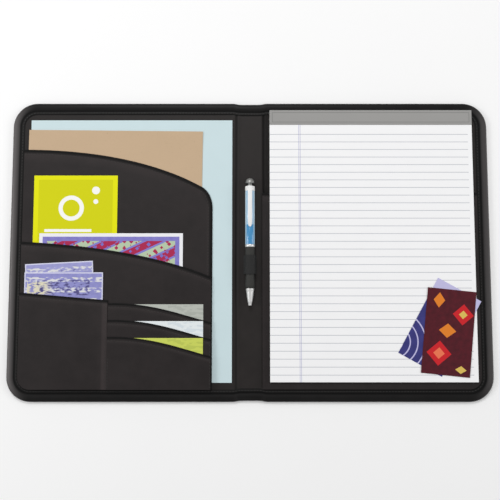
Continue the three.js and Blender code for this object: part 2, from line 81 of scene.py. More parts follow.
# Places read from the frame
EDGE_X = -corners("front_binding")[0][0]
HALF_HEIGHT = corners("front_binding")[1][1]
FOLD_X, FACE_HALF = corners("spine_leather")[1][:2]
LINING_TOP = corners("front_lining")[1][2]
POCKET_FOOT = corners("document_pocket")[0][1]
PEN_AXIS_Z = (corners("pen_barrel")[0][2] + corners("pen_barrel")[1][2]) / 2
PEN_RADIUS = corners("pen_barrel")[1][0]

# Sizes of the covers that a box cannot give
CORNER_RADIUS = 26.0
INNER_CORNER = 12.7
SPINE_SEAM = {"head": 41.5, "waist": 22.0, "foot": 38.7}
EDGE_SEAM = {"head": 50.0, "waist": 35.7, "foot": 54.0}
SEAM_WAIST_Y = 6.0
LEATHER_INSET = 7.6
LINING_INSET = 12.2
BINDING_OUTSIDE = 8.0
HEAD_DIP = 1.2
SKIN = 0.3
MOST_DEPTH = 1.4
LEAST_DEPTH = 0.03
STITCH_SINK = 0.2
SHARP_EDGE = math.radians(35.0)

# Cards and sheets that are turned in their place, so that a box cannot give their size
KRAFT_SIZE = (186.5, 250.0)
REAR_TICKET_SIZE = (71.5, 54.0)
FRONT_TICKET_SIZE = (82.5, 54.0)
LOOSE_CARD_SIZE = (89.0, 51.0)


# Settings that a user would change


def colour_setting(name, description, *display):
    """A colour, given as a display colour."""
    return FloatVectorProperty(
        name=name, description=description, subtype="COLOR", default=srgb(*display), min=0, max=1
    )


def length_setting(name, description, default, least):
    """A length in metres."""
    return FloatProperty(name=name, description=description, unit="LENGTH", default=default, min=least)


class LeatherSettings(bpy.types.PropertyGroup):
    """Sizes and colours of the leather, its lining and its thread."""

    cover: colour_setting("Cover", "Outer leather", 19, 19, 18)
    trim: colour_setting("Trim", "Edge binding and piping", 20, 19, 19)
    pocket: colour_setting("Pockets", "Leather of the pockets", 34, 29, 29)
    lining: colour_setting("Lining", "Inside lining", 33, 29, 28)
    thread: colour_setting("Thread", "Sewing thread", 92, 91, 88)
    grain: length_setting("Grain", "Width of a pebble of the grain", 0.0011, 0.0003)
    stitch: length_setting("Stitch", "Distance from stitch to stitch", 0.0032, 0.001)


class PaperSettings(bpy.types.PropertyGroup):
    """Sizes and colours of the papers, cards and the pad."""

    sheet: colour_setting("Sheet", "Ruled sheets", 250, 250, 251)
    rule: colour_setting("Ruling", "Ruled lines", 176, 180, 188)
    margin: colour_setting("Margin", "Margin lines", 166, 168, 206)
    header: colour_setting("Header", "Strip at the pad's head", 157, 156, 154)
    letter: colour_setting("Letter paper", "Light blue paper", 206, 225, 229)
    kraft: colour_setting("Kraft", "Tan sheet", 199, 173, 143)
    lime: colour_setting("Lime card", "Lime card", 213, 213, 10)
    rule_pitch: length_setting("Line pitch", "Distance between ruled lines", 0.0082, 0.002)
    rule_width: length_setting("Line width", "Width of a ruled line", 0.0006, 0.0001)
    margin_place: length_setting("Margin", "Margin lines from the left edge", 0.031, 0.005)


class StageSettings(bpy.types.PropertyGroup):
    """Floor, light and camera."""

    floor: colour_setting("Floor", "Pale floor", 254, 254, 254)
    elevation: FloatProperty(
        name="Elevation", description="Height of the camera as an angle", subtype="ANGLE",
        default=math.radians(85),
    )
    lens: FloatProperty(name="Lens", description="Focal length in millimetres", default=50.0, min=20)
    margin: FloatProperty(name="Margin", description="Room round the object, as a share", default=0.04, min=0)
    key: FloatProperty(name="Key light", description="Power of the key light in watts", default=10.0, min=0)
    side: FloatProperty(name="Side lights", description="Power of the left one in watts", default=7.0, min=0)
    sky: FloatProperty(name="Sky", description="Strength of the light from all round", default=0.45, min=0)


# Shader maths


class Socket:
    """An output socket of a node. Arithmetic on it adds Math nodes."""

    def __init__(self, finish, source):
        self.finish = finish
        self.source = source

    def __add__(self, other):
        return self.finish.math("ADD", self, other)

    def __radd__(self, other):
        return self.finish.math("ADD", other, self)

    def __sub__(self, other):
        return self.finish.math("SUBTRACT", self, other)

    def __rsub__(self, other):
        return self.finish.math("SUBTRACT", other, self)

    def __mul__(self, other):
        return self.finish.math("MULTIPLY", self, other)

    def __rmul__(self, other):
        return self.finish.math("MULTIPLY", other, self)

    def __truediv__(self, other):
        return self.finish.math("DIVIDE", self, other)

    def __pow__(self, other):
        return self.finish.math("POWER", self, other)

    def __mod__(self, other):
        return self.finish.math("FLOORED_MODULO", self, other)

    def __lt__(self, other):
        return self.finish.math("LESS_THAN", self, other)

    def __gt__(self, other):
        return self.finish.math("GREATER_THAN", self, other)

    def __abs__(self):
        return self.finish.math("ABSOLUTE", self, 0.0)


class Finish:
    """A material made of nodes around one Principled shader."""

    def __init__(self, name, **constants):
        self.material = bpy.data.materials.new(name)
        self.material.use_nodes = True
        self.tree = self.material.node_tree
        self.tree.nodes.clear()
        self.shader = self.tree.nodes.new("ShaderNodeBsdfPrincipled")
        output = self.tree.nodes.new("ShaderNodeOutputMaterial")
        self.tree.links.new(self.shader.outputs[0], output.inputs["Surface"])
        self.set(**constants)

    def add(self, kind, settings=(), inputs=(), output=0):
        """A node of that kind, with its settings and the values or links of its sockets."""
        node = self.tree.nodes.new(kind)
        for key, value in dict(settings).items():
            setattr(node, key, value)
        for key, value in dict(inputs).items():
            self.feed(node.inputs[key], value)
        return Socket(self, node.outputs[output])

    def feed(self, socket, value):
        if isinstance(value, Socket):
            self.tree.links.new(value.source, socket)
        elif hasattr(value, "__len__") and len(value) == 3 and socket.type == "RGBA":
            socket.default_value = (*value, 1.0)
        else:
            socket.default_value = value

    def set(self, **sockets):
        """Feeds the shader's sockets, named with _ for each space."""
        for key, value in sockets.items():
            self.feed(self.shader.inputs[key.replace("_", " ")], value)
        return self.material

    @cached_property
    def place(self):
        """The piece's own coordinates in millimetres, which stay with the piece when it bends."""
        return self.add("ShaderNodeAttribute", {"attribute_name": "rest"}, output="Vector")

    @cached_property
    def u(self):
        """The first coordinate, which runs from left to right on a sheet."""
        return self.part("X")

    @cached_property
    def v(self):
        """The second coordinate, which runs from foot to head on a sheet."""
        return self.part("Y")

    def part(self, axis):
        return self.add("ShaderNodeSeparateXYZ", (), {0: self.place}, output=axis)

    def stretched(self, vector, factors):
        return self.add("ShaderNodeVectorMath", {"operation": "MULTIPLY"}, {0: vector, 1: factors})

    def math(self, operation, first, second=0.0, third=0.0):
        return self.add("ShaderNodeMath", {"operation": operation}, {0: first, 1: second, 2: third})

    def held(self, value):
        """The value, held between 0 and 1."""
        return self.add("ShaderNodeClamp", (), {"Value": value})

    def noise(self, size, detail=2.0, roughness=0.5, stretch=None):
        """Cloudy values from 0 to 1 whose lumps are about as wide as the size, if they aren't stretched."""
        vector = self.stretched(self.place, stretch) if stretch else self.place
        inputs = {"Vector": vector, "Scale": 1 / size, "Detail": detail, "Roughness": roughness}
        return self.add("ShaderNodeTexNoise", (), inputs)

    def cells(self, size, **settings):
        """Distance from the middle of the nearest cell, for cells about as wide as the size."""
        inputs = {"Vector": self.place, "Scale": 1 / size}
        return self.add("ShaderNodeTexVoronoi", settings, inputs, "Distance")

    def mix(self, mask, under, over):
        """The colour under, painted with the colour over where the mask is 1."""
        inputs = {"Factor": mask, 6: under, 7: over}
        return self.add("ShaderNodeMix", {"data_type": "RGBA"}, inputs, output=2)

    def tones(self, mask, colour, dark, pale):
        """The colour times dark where the mask is 0, and times pale where it is 1."""
        return self.mix(mask, shade(colour, dark), shade(colour, pale))

    def bump(self, height, depth):
        """Relief of the given depth in millimetres."""
        relief = self.add("ShaderNodeBump", (), {"Height": height, "Distance": depth * MM})
        self.set(Normal=relief)

    def scratches(self):
        """Fine scratches along the piece, which are its relief too."""
        marks = self.noise(1.0, 3.0, stretch=(6.0, 0.4, 6.0))
        self.bump(marks, 0.01)
        return marks

    def disc(self, centre, radius):
        across = self.u - centre[0]
        along = self.v - centre[1]
        return (across * across + along * along) < radius * radius

    def bar(self, left, right, low, high):
        return (self.u > left) * (self.u < right) * (self.v > low) * (self.v < high)


class Paper(Finish):
    """The finish of a paper or card: fibres, and a slow cockle."""

    def __init__(self, name, specular=0.15):
        super().__init__(name, Specular_IOR_Level=specular)
        self.fibre = self.noise(0.6, 4.0, 0.6)
        self.cockle = self.noise(22.0)
        self.bump(self.fibre * 0.2 + self.cockle * 1.5, 0.05)

    def mottled(self, colour, dark, pale):
        return self.tones(self.fibre * 0.5 + self.cockle * 0.5, colour, dark, pale)

    def within(self, edge, width, height):
        """1 inside an edge of that width on a sheet of the given size."""
        return self.bar(edge, width - edge, edge, height - edge)

    def painted(self, colour, roughness, fibre_share=0.1):
        return self.set(Base_Color=colour, Roughness=roughness + self.fibre * fibre_share)


def shade(colour, factor):
    return tuple(min(1.0, c * factor) for c in colour)


# Finishes


def leather_finish(name, colour, grain, depth, roughness, specular):
    """Leatherette: a pebbled grain, cloudy patches, a sheen that changes from patch to patch, and painted
    highlights and painted shade from the wear attribute.
    """
    skin = Finish(name, Specular_IOR_Level=specular)
    pebbles = skin.cells(grain, feature="SMOOTH_F1")
    fibre = skin.noise(grain * 0.45, 3.0)
    clouds = skin.noise(26.0, 4.0, 0.6)
    folds = skin.noise(9.0, 3.0, 0.55)
    wear_and_painted_light = skin.add("ShaderNodeAttribute", {"attribute_name": "wear_and_painted_light"}, output="Fac")
    painted_light_and_rub = skin.math("MAXIMUM", wear_and_painted_light)
    painted_shade_and_press = skin.math("MAXIMUM", 0.0 - wear_and_painted_light)
    tone = skin.tones(clouds * 0.7 + folds * 0.3, colour, 0.5, 1.65)
    # Above 0 the wear attribute paints the leather lighter, a painted highlight with some rubbing; below 0 it
    # paints it darker, painted shade in creases and grooves
    tone = skin.mix(painted_light_and_rub * (1 / 3), tone, shade(colour, 22.0))
    tone = skin.mix(painted_shade_and_press, tone, shade(colour, 0.12))
    dullness = roughness - 0.14 + clouds * 0.2 + fibre * 0.08 - painted_light_and_rub * 0.06 + painted_shade_and_press * 0.3
    skin.bump(pebbles * 0.7 + fibre * 0.3 + folds * 1.6, depth)
    return skin.set(Base_Color=tone, Roughness=dullness)


def thread_finish(name, colour):
    """Twisted sewing thread."""
    yarn = Finish(name, Specular_IOR_Level=0.4)
    twist = yarn.noise(0.25)
    yarn.bump(twist, 0.05)
    return yarn.set(Base_Color=yarn.tones(twist, colour, 0.6, 1.4), Roughness=0.5 + twist * 0.1)


def elastic_finish():
    """The plain weave of the pen loop's elastic."""
    cloth = Finish("elastic", Specular_IOR_Level=0.2)
    thread = 0.5
    turn = math.tau / thread
    weave = cloth.math("SINE", cloth.u * turn) * cloth.math("SINE", cloth.v * turn) * 0.5 + 0.5
    fuzz = cloth.noise(thread * 2)
    cloth.bump(weave + fuzz * 0.5, 0.12)
    tone = cloth.tones(weave * 0.5 + fuzz * 0.5, srgb(22, 21, 21), 0.6, 1.5)
    return cloth.set(Base_Color=tone, Roughness=0.75 + fuzz * 0.15)


def foam_finish():
    foam = Finish("foam", Specular_IOR_Level=0.2)
    pores = foam.cells(0.6)
    foam.bump(pores, 0.1)
    tone = foam.mix(pores, srgb(118, 118, 114), srgb(156, 156, 150))
    return foam.set(Base_Color=tone, Roughness=0.9 + pores * 0.05)


def board_finish():
    """Black card. It dresses CAD nodes, which have no coordinates but their place in the frame."""
    board = Finish("cover board", Specular_IOR_Level=0.2)
    board.place = board.stretched(board.add("ShaderNodeTexCoord", output="Object"), (1 / MM,) * 3)
    fibre = board.noise(1.2, 4.0, stretch=(1.0, 0.3, 6.0))
    board.bump(fibre, 0.06)
    tone = board.mix(fibre, srgb(20, 19, 18), srgb(38, 36, 34))
    return board.set(Base_Color=tone, Roughness=0.85 + fibre * 0.1)


def plain_paper_finish(name, colour, contrast, speckle=0.0):
    paper = Paper(name)
    tone = paper.mottled(colour, 1 - contrast, 1 + contrast)
    flecks = (paper.noise(0.7, stretch=(1.0, 0.35, 1.0)) > 0.68) * speckle
    return paper.painted(paper.mix(flecks, tone, shade(colour, 0.6)), 0.78, 0.12)


def ruled_paper_finish(settings, width, height):
    """A ruled sheet: lines that stop short of its right edge, and a double margin line."""
    paper = Paper("ruled paper")
    u, v = paper.u, paper.v
    pitch = settings.rule_pitch / MM
    half = settings.rule_width / MM / 2
    head_room = 8.0
    foot_room = 7.0
    side_room = 4.5
    margin = settings.margin_place / MM
    margin_gap = 1.5
    line = ((v - foot_room) % pitch < 2 * half) * (u < width - side_room)
    line = line * (v < height - head_room) * (v > foot_room - half)
    margins = (abs(u - margin) < half) + (abs(u - margin - margin_gap) < half)
    tone = paper.tones(paper.fibre * 0.4 + paper.cockle * 0.6, settings.sheet, 0.97, 1.02)
    tone = paper.mix(line * 0.9, tone, settings.rule)
    return paper.painted(paper.mix(margins * 0.75, tone, settings.margin), 0.8)


def header_finish(name, colour, box):
    """The grey strip at the pad's head, with a thin darker frame line inside its edges."""
    paper = Paper(name, 0.2)
    (left, foot), (right, head) = box[0][:2], box[1][:2]
    inset = 2.4
    line = 0.8
    outer, inner = (
        paper.bar(left + gap, right - gap, foot + gap, head - gap) for gap in (inset, inset + line)
    )
    tone = paper.mix((outer - inner) * 0.55, paper.mottled(colour, 0.95, 1.05), shade(colour, 0.5))
    return paper.painted(tone, 0.7, 0.12)


def page_edge_finish(colour):
    """The cut edges of a block of sheets."""
    paper = Finish("page edges", Specular_IOR_Level=0.2)
    layers = paper.noise(1.0, 3.0, stretch=(0.05, 0.05, 12.0))
    paper.bump(layers, 0.1)
    return paper.set(Base_Color=paper.tones(layers, colour, 0.72, 1.0), Roughness=0.85 + layers * 0.05)


def lime_card_finish(colour):
    """A lime card: a yellow edge round a lime field with white discs and bars."""
    card = Paper("lime card")
    yellow = srgb(230, 230, 6)
    white = srgb(250, 250, 246)
    ring_middle = (40.0, 92.0)
    field = card.bar(5.0, 84.0, 5.0, 122.5)
    ring = card.disc(ring_middle, 13.5) * (1 - card.disc(ring_middle, 9.0))
    dots = card.disc((66.0, 111.0), 4.2) + card.disc((66.0, 99.0), 2.6)
    bars = card.bar(12.0, 62.0, 66.5, 69.5) + card.bar(12.0, 56.0, 58.5, 62.0)
    tone = card.mix(field, yellow, card.tones(card.fibre, colour, 0.96, 1.04))
    return card.painted(card.mix(card.held(ring + dots + bars), tone, white), 0.42)


def photo_print_finish(width, height):
    """A print with a white border and a violet frame round plain red diamonds and pale green bands."""
    card = Paper("photo print", 0.3)
    white_edge = 3.6
    violet_edge = 8.2
    red = srgb(172, 36, 80)
    violet = card.mix(card.noise(6.0), srgb(112, 106, 186), srgb(148, 142, 214))
    bands = card.math("SINE", card.v * 0.3 - card.u * 0.14)
    red_band = bands < -0.35
    ground = card.mix(bands > 0.3, srgb(132, 126, 206), srgb(184, 202, 172))
    ground = card.mix(red_band, ground, red)
    spot = card.mix(red_band, red, srgb(120, 112, 198))
    picture = card.mix(card.cells(5.0, distance="MANHATTAN") < 0.5, ground, spot)
    border = card.mix(card.within(white_edge, width, height), srgb(240, 240, 244), violet)
    return card.painted(card.mix(card.within(violet_edge, width, height), border, picture), 0.3)


def ticket_finish(name, size, tone, dark_share):
    """A lilac ticket with a pale edge, and soft pale and dark flecks in rows."""
    card = Paper(name, 0.25)
    width, height = size
    softness = 8.0
    lilac = card.tones(card.noise(5.0, 3.0), tone, 0.8, 1.25)
    strokes = card.noise(3.2, stretch=(0.6, 1.3, 1.0))
    row_pitch = 11.0
    row_height = 5.0
    rows = (card.v % row_pitch) < row_height
    pale = card.held((strokes - 0.46) * softness) * rows
    block = card.bar(12.0, width - 14.0, height - 24.0, height - 8.0)
    dark = card.held((dark_share + 0.05 - strokes) * softness) * block
    worn = card.held((30.0 - card.u) * 0.12) * card.held((strokes - 0.4) * softness)
    worn = worn * card.bar(3.0, 30.0, height - 23.0, height - 10.0)
    printed = card.mix(pale, lilac, srgb(222, 222, 224))
    printed = card.mix(dark, printed, srgb(84, 80, 132))
    printed = card.mix(worn, printed, srgb(222, 216, 190))
    return card.painted(card.mix(card.within(1.2, width, height), srgb(214, 214, 236), printed), 0.4)


def slot_card_finish(name, colour, print_colour):
    """A plain card with faint print towards its right end."""
    card = Paper(name, 0.25)
    print_left = 52.0
    print_strength = 0.22
    flecks = card.noise(4.0, stretch=(0.35, 1.2, 1.0))
    printed = (flecks > 0.54) * (card.u > print_left) * print_strength
    return card.painted(card.mix(printed, card.mottled(colour, 0.94, 1.04), print_colour), 0.38)


def navy_card_finish():
    """A navy card with lavender arcs."""
    card = Paper("navy card", 0.3)
    lavender = srgb(196, 192, 230)
    middle = (8.0, 60.0)
    arc_pitch = 8.0
    arc_width = 1.3
    arc_reach = 38.0
    band_left = 74.0
    across = card.u - middle[0]
    along = card.v - middle[1]
    away = (across * across + along * along) ** 0.5
    arcs = ((away % arc_pitch) < arc_width) * (away < arc_reach)
    tone = card.mix(card.noise(8.0), srgb(44, 44, 104), srgb(66, 66, 138))
    return card.painted(card.mix(card.held(arcs + (card.u > band_left)), tone, lavender), 0.3)


def maroon_card_finish():
    """A maroon card with plain red and orange lozenges."""
    card = Paper("maroon card", 0.3)
    tone = card.mix(card.noise(5.0, 3.0), srgb(58, 14, 24), srgb(98, 22, 36))
    red = srgb(206, 32, 40)
    rose = srgb(238, 120, 84)
    orange = srgb(228, 130, 40)
    yellow = srgb(222, 190, 92)
    # Middle, half width, half height and colour of each lozenge, from the lowest to the topmost
    lozenges = (
        (22.0, 34.0, 13.0, 13.0, red), (64.0, 12.0, 11.0, 11.0, red), (22.0, 34.0, 6.0, 6.0, rose),
        (46.0, 27.0, 7.5, 9.0, orange), (77.0, 38.0, 8.0, 6.0, orange), (64.0, 12.0, 4.5, 4.5, yellow),
        (7.0, 10.0, 4.0, 6.0, yellow),
    )
    for x, y, half_width, half_height, paint in lozenges:
        inside = abs(card.u - x) / half_width + abs(card.v - y) / half_height < 1.0
        tone = card.mix(inside, tone, paint)
    return card.painted(tone, 0.28)


def plastic_finish(name, colour, roughness, sheen=0.5):
    """Moulded plastic with faint flow marks and fine scratches."""
    plastic = Finish(name, Specular_IOR_Level=sheen)
    flow = plastic.noise(3.0, stretch=(1.0, 0.2, 1.0))
    tone = plastic.tones(flow, colour, 0.93, 1.07)
    return plastic.set(Base_Color=tone, Roughness=roughness + plastic.scratches() * 0.08)


def barrel_sheen_finish(name, middle, side, half_width):
    """A blue barrel, painted paler towards its sides as a painted reflection of the side lights."""
    barrel = Finish(name, Specular_IOR_Level=0.5, Coat_Weight=0.4)
    # The sides are painted paler, a painted reflection
    into_painted_sheen = barrel.math("MAXIMUM", (abs(barrel.u) - half_width) * 0.8)
    pale = barrel.math("SMOOTH_MIN", into_painted_sheen, 1.0, 0.1)
    return barrel.set(Base_Color=barrel.mix(pale, middle, side), Roughness=0.16 + barrel.scratches() * 0.08)


def metal_finish(name, tone, metallic):
    """Plated grey metal with faint turning marks."""
    metal = Finish(name, Metallic=metallic)
    turning = metal.noise(1.0, 3.0, stretch=(0.2, 6.0, 0.2))
    metal.bump(turning, 0.008)
    colour = (tone, tone, tone - 0.01)
    return metal.set(Base_Color=metal.tones(turning, colour, 0.9, 1.1), Roughness=0.34 + turning * 0.1)


def floor_finish(colour):
    floor = Finish("floor", Specular_IOR_Level=0.1)
    return floor.set(Base_Color=floor.tones(floor.noise(60.0, 3.0), colour, 0.995, 1.005), Roughness=0.9)


def finish(name):
    """The finish of that name, made the first time that it is asked for."""
    return bpy.data.materials.get(name) or make_finish(name)


def make_finish(name):
    scene = bpy.context.scene
    leather = scene.padfolio_leather
    paper = scene.padfolio_paper
    grain = leather.grain / MM
    fine = grain * 0.8

    def size(node):
        low, high = corners(node)
        return (high - low)[:2]

    makers = {
        "cover leather": lambda: leather_finish(name, leather.cover, grain, 0.08, 0.42, 0.18),
        "trim leather": lambda: leather_finish(name, leather.trim, grain, 0.06, 0.44, 0.15),
        # The piping is painted much darker than the trim, in part painted shade along the pockets' rolled
        # edges
        "piping leather": lambda: leather_finish(name, shade(leather.trim, 0.4), grain, 0.05, 0.55, 0.15),
        "pocket leather": lambda: leather_finish(name, leather.pocket, fine, 0.06, 0.52, 0.24),
        "lining leather": lambda: leather_finish(name, leather.lining, fine, 0.05, 0.54, 0.24),
        "thread": lambda: thread_finish(name, leather.thread),
        "inside thread": lambda: thread_finish(name, shade(leather.thread, 0.3)),
        "elastic": elastic_finish,
        "foam": foam_finish,
        "cover board": board_finish,
        "ruled paper": lambda: ruled_paper_finish(paper, *size("top_sheet")),
        "page edges": lambda: page_edge_finish(paper.sheet),
        "header paper": lambda: header_finish(name, paper.header, corners("pad_header")),
        "backing card": lambda: plain_paper_finish(name, srgb(168, 164, 156), 0.08, 0.4),
        "letter paper": lambda: plain_paper_finish(name, paper.letter, 0.04),
        "kraft paper": lambda: plain_paper_finish(name, paper.kraft, 0.06, 0.35),
        "lime card": lambda: lime_card_finish(paper.lime),
        "photo print": lambda: photo_print_finish(*size("photo_print")),
        "rear ticket": lambda: ticket_finish(name, REAR_TICKET_SIZE, srgb(154, 154, 206), 0.36),
        "front ticket": lambda: ticket_finish(name, FRONT_TICKET_SIZE, srgb(142, 142, 200), 0.46),
        "grey card": lambda: slot_card_finish(name, srgb(186, 190, 182), srgb(120, 126, 120)),
        "white card": lambda: slot_card_finish(name, srgb(232, 238, 240), srgb(150, 176, 200)),
        "pale lime card": lambda: slot_card_finish(name, srgb(205, 215, 96), srgb(120, 140, 60)),
        "navy card": navy_card_finish,
        "maroon card": maroon_card_finish,
        "pen blue": lambda: barrel_sheen_finish(name, srgb(66, 144, 196), srgb(176, 206, 226), 3.2),
        "pen clear blue": lambda: barrel_sheen_finish(name, srgb(150, 192, 222), srgb(206, 224, 236), 3.4),
        "pen white": lambda: plastic_finish(name, srgb(240, 240, 240), 0.25),
        "pen rubber": lambda: plastic_finish(name, srgb(50, 50, 48), 0.6, 0.3),
        "pen grey": lambda: metal_finish(name, 0.3, 0.7),
        "pen silver": lambda: metal_finish(name, 0.8, 0.6),
        "refill tube": lambda: plastic_finish(name, srgb(196, 191, 174), 0.35),
        "floor": lambda: floor_finish(scene.padfolio_stage.floor),
    }
    return makers[name]()


# Mesh building


class Shell:
    """Vertices and faces of one piece, collected part by part in millimetres."""

    def __init__(self):
        self.vertices = []
        self.places = []
        self.wear_and_painted_light = []
        self.faces = []
        self.slots = []
        self.materials = []
        self.count = 0

    def add(self, vertices, faces, material, places=None, wear_and_painted_light=0.0):
        """Adds a part with its finish.

        places are its shader coordinates, if they aren't its vertices. The wear value paints light and shade
        besides wear: -1 is painted shade in the bottom of a crease, about 1 a painted highlight on a ridge, 3
        at most.
        """
        if material not in self.materials:
            self.materials.append(material)
        self.vertices.append(vertices)
        self.places.append(vertices if places is None else places)
        self.wear_and_painted_light.append(np.broadcast_to(wear_and_painted_light, len(vertices)))
        self.faces.extend([[int(i) + self.count for i in face] for face in faces])
        self.slots.extend([self.materials.index(material)] * len(faces))
        self.count += len(vertices)
        return self

    def piece(self, name):
        """The finished Blender object, smooth but for its sharp edges."""
        vertices = np.concatenate(self.vertices)
        mesh = bpy.data.meshes.new(name)
        mesh.from_pydata((vertices * MM).tolist(), [], self.faces)
        for material in self.materials:
            mesh.materials.append(finish(material))
        mesh.polygons.foreach_set("material_index", self.slots)
        mesh.polygons.foreach_set("use_smooth", [True] * len(self.faces))
        mesh.set_sharp_from_angle(angle=SHARP_EDGE)
        rest = mesh.attributes.new("rest", "FLOAT_VECTOR", "POINT")
        rest.data.foreach_set("vector", np.concatenate(self.places).astype(np.float32).ravel())
        # The wear attribute holds wear together with painted highlights and painted shade
        wear_and_painted_light = mesh.attributes.new("wear_and_painted_light", "FLOAT", "POINT")
        wear_and_painted_light.data.foreach_set("value", np.concatenate(self.wear_and_painted_light).astype(np.float32))
        mesh.update()
        piece = bpy.data.objects.new(name, mesh)
        bpy.context.scene.collection.objects.link(piece)
        return piece


def quads(index):
    """The faces of grids of vertex numbers, facing up where columns run along +X and rows along +Y."""
    around = [index[..., :-1, :-1], index[..., :-1, 1:], index[..., 1:, 1:], index[..., 1:, :-1]]
    return np.stack(around, -1).reshape(-1, 4)


def rings(count, points, rows=()):
    """Numbers of a row of rings of points, with the first point of each repeated at its end."""
    index = np.arange(math.prod(rows) * count * points).reshape(*rows, count, points)
    return np.concatenate([index, index[..., :1]], -1)


def tube_faces(count, points):
    """The faces of rings of points one behind the other, with both ends closed."""
    ring = rings(count, points)
    ends = [ring[0, :-1].tolist(), ring[-1, :-1][::-1].tolist()]
    return quads(ring.T).tolist() + ends


def plate(x, y, low, high):
    """A closed slab over a grid of points, between a low and a high surface."""
    rows, columns = x.shape
    count = rows * columns
    index = np.arange(count).reshape(rows, columns)
    top, bottom = (np.stack([x, y, np.broadcast_to(z, x.shape)], -1).reshape(-1, 3) for z in (high, low))
    border = np.concatenate([index[0, :-1], index[:-1, -1], index[-1, :0:-1], index[:0:-1, 0]])
    after = np.roll(border, -1)
    walls = np.stack([border + count, after + count, after, border], -1)
    faces = np.concatenate([quads(index), quads(index)[:, ::-1] + count, walls])
    return np.concatenate([top, bottom]), faces.tolist()


def path_frames(path):
    """The direction and the left-hand normal at each point of a flat path."""
    direction = np.gradient(path, axis=0)
    direction /= np.linalg.norm(direction, axis=1, keepdims=True)
    return direction, np.stack([-direction[:, 1], direction[:, 0]], 1)


def offset_line(path, distance):
    """The path moved to its left."""
    return path + path_frames(path)[1] * distance


def raised(path, height):
    """A flat path as a path in space, at a height."""
    return np.column_stack([path, np.broadcast_to(height, len(path))])


def sweep(path, section):
    """A section of (offset to the left, height) points carried along an open flat path, with closed ends."""
    normal = path_frames(path)[1]
    section = np.array(section, float)
    flat = path[:, None, :] + normal[:, None, :] * section[None, :, :1]
    height = np.broadcast_to(section[None, :, 1], flat.shape[:2])
    vertices = np.concatenate([flat, height[..., None]], -1).reshape(-1, 3)
    return vertices, tube_faces(len(path), len(section))


def oval(width, height, centre):
    """An oval section for sweep()."""
    points = 12
    angle = np.arange(points) * math.tau / points
    across = centre[0] - np.sin(angle) * width / 2
    return np.stack([across, centre[1] - np.cos(angle) * height / 2], 1)


def lathe(profile, sides=48):
    """A solid turned about the pen's axis from (radius, y) points. The first and last radius may be 0."""
    radius, along = np.array(profile, float).T[:, :, None]
    angle = np.arange(sides) * math.tau / sides
    x = radius * np.sin(angle)
    z = PEN_AXIS_Z + radius * np.cos(angle)
    vertices = np.stack([x, np.broadcast_to(along, x.shape), z], -1).reshape(-1, 3)
    return vertices, tube_faces(len(profile), sides)


def turned_tube(outer, inner):
    """A ring turned about the pen's axis, from outer and inner (radius, y) points, both foot to head."""
    vertices, faces = lathe([*outer, *inner[::-1], outer[0]])
    return vertices, faces[:-2]


def spread(path, pitch):
    """Evenly spaced points along a path of 2D or 3D points, with the direction at each."""
    steps = np.linalg.norm(np.diff(path, axis=0), axis=1)
    along = np.concatenate([[0], np.cumsum(steps)])
    count = max(2, int(round(along[-1] / pitch)))
    at = (np.arange(count) + 0.5) * along[-1] / count
    look = 0.2
    points, ahead, behind = (
        np.stack([np.interp(at + step, along, axis) for axis in path.T], 1) for step in (0.0, look, -look)
    )
    direction = ahead - behind
    return points, direction / np.linalg.norm(direction, axis=1, keepdims=True)


def stitches(path, up=1.0, radius=0.34):
    """A row of stitches along a path of 3D points, on a face that looks along up times +Z."""
    pitch = bpy.context.scene.padfolio_leather.stitch / MM
    length = pitch * 0.74
    centres, ahead = spread(path, pitch)
    normal = np.tile([0.0, 0.0, up], (len(centres), 1))
    side = np.cross(normal, ahead)
    along = np.array([-0.5, -0.3, 0.3, 0.5]) * length
    girth = np.array([0.45, 1.0, 1.0, 0.45]) * radius
    sink = np.array([-0.7, 0.0, 0.0, -0.7]) * radius
    points = 6
    angle = np.arange(points) * math.tau / points
    vertices = (
        centres[:, None, None, :]
        + ahead[:, None, None, :] * along[None, :, None, None]
        + side[:, None, None, :] * (girth[:, None] * np.cos(angle))[None, :, :, None]
        + normal[:, None, None, :] * (sink[:, None] + girth[:, None] * np.sin(angle))[None, :, :, None]
    )
    ring = rings(len(along), points, (len(centres),))
    sides = quads(ring.swapaxes(-1, -2))[:, ::-1].tolist()
    ends = ring[:, 0, :-1].tolist() + ring[:, -1, -2::-1].tolist()
    return vertices.reshape(-1, 3), sides + ends


def sewn(path, up=1.0, radius=0.34, finish_name="thread"):
    """A row of stitches with its finish, for Shell.add()."""
    return (*stitches(path, up, radius), finish_name)


def bezier(start, first, second, end, count):
    """Points on a cubic curve."""
    t = np.linspace(0, 1, count)[:, None]
    start, first, second, end = (np.array(p, float) for p in (start, first, second, end))
    return (1 - t) ** 3 * start + 3 * t * (1 - t) ** 2 * first + 3 * t * t * (1 - t) * second + t**3 * end


def bell(distance, width):
    """1 at no distance, falling off over the given width."""
    return np.exp(-((distance / width) ** 2))


def ripple(x, y, size, shift=0.0):
    """A slow, even unevenness between about -1 and 1."""
    k = math.tau / size
    return (
        np.sin(k * (x * 0.93 + y * 0.31) + 1.3 + shift)
        + np.sin(k * (y * 0.87 - x * 0.42) * 1.31 + 4.1 + shift * 2)
        + np.sin(k * (x * 0.55 + y * 0.78) * 0.73 + 2.2 - shift)
    ) / 3


# Shape of the covers

# How far from the middle of the spine the soft pieces bend, and the distances from a rim at which a
# cover's grid has its closer columns and rows
BENDING = 24
RIM_STEPS = np.array([0.5, 1.0, 1.6, 2.3, 3.2, 4.5, 6.0])


def edge_distance(x, y):
    """How far a point lies inside the covers' outer edge."""
    across = np.abs(x) - (EDGE_X - CORNER_RADIUS)
    along = np.abs(y) - (HALF_HEIGHT - CORNER_RADIUS)
    outside = np.hypot(np.maximum(across, 0), np.maximum(along, 0))
    inside = np.minimum(np.maximum(across, along), 0)
    return CORNER_RADIUS - outside - inside


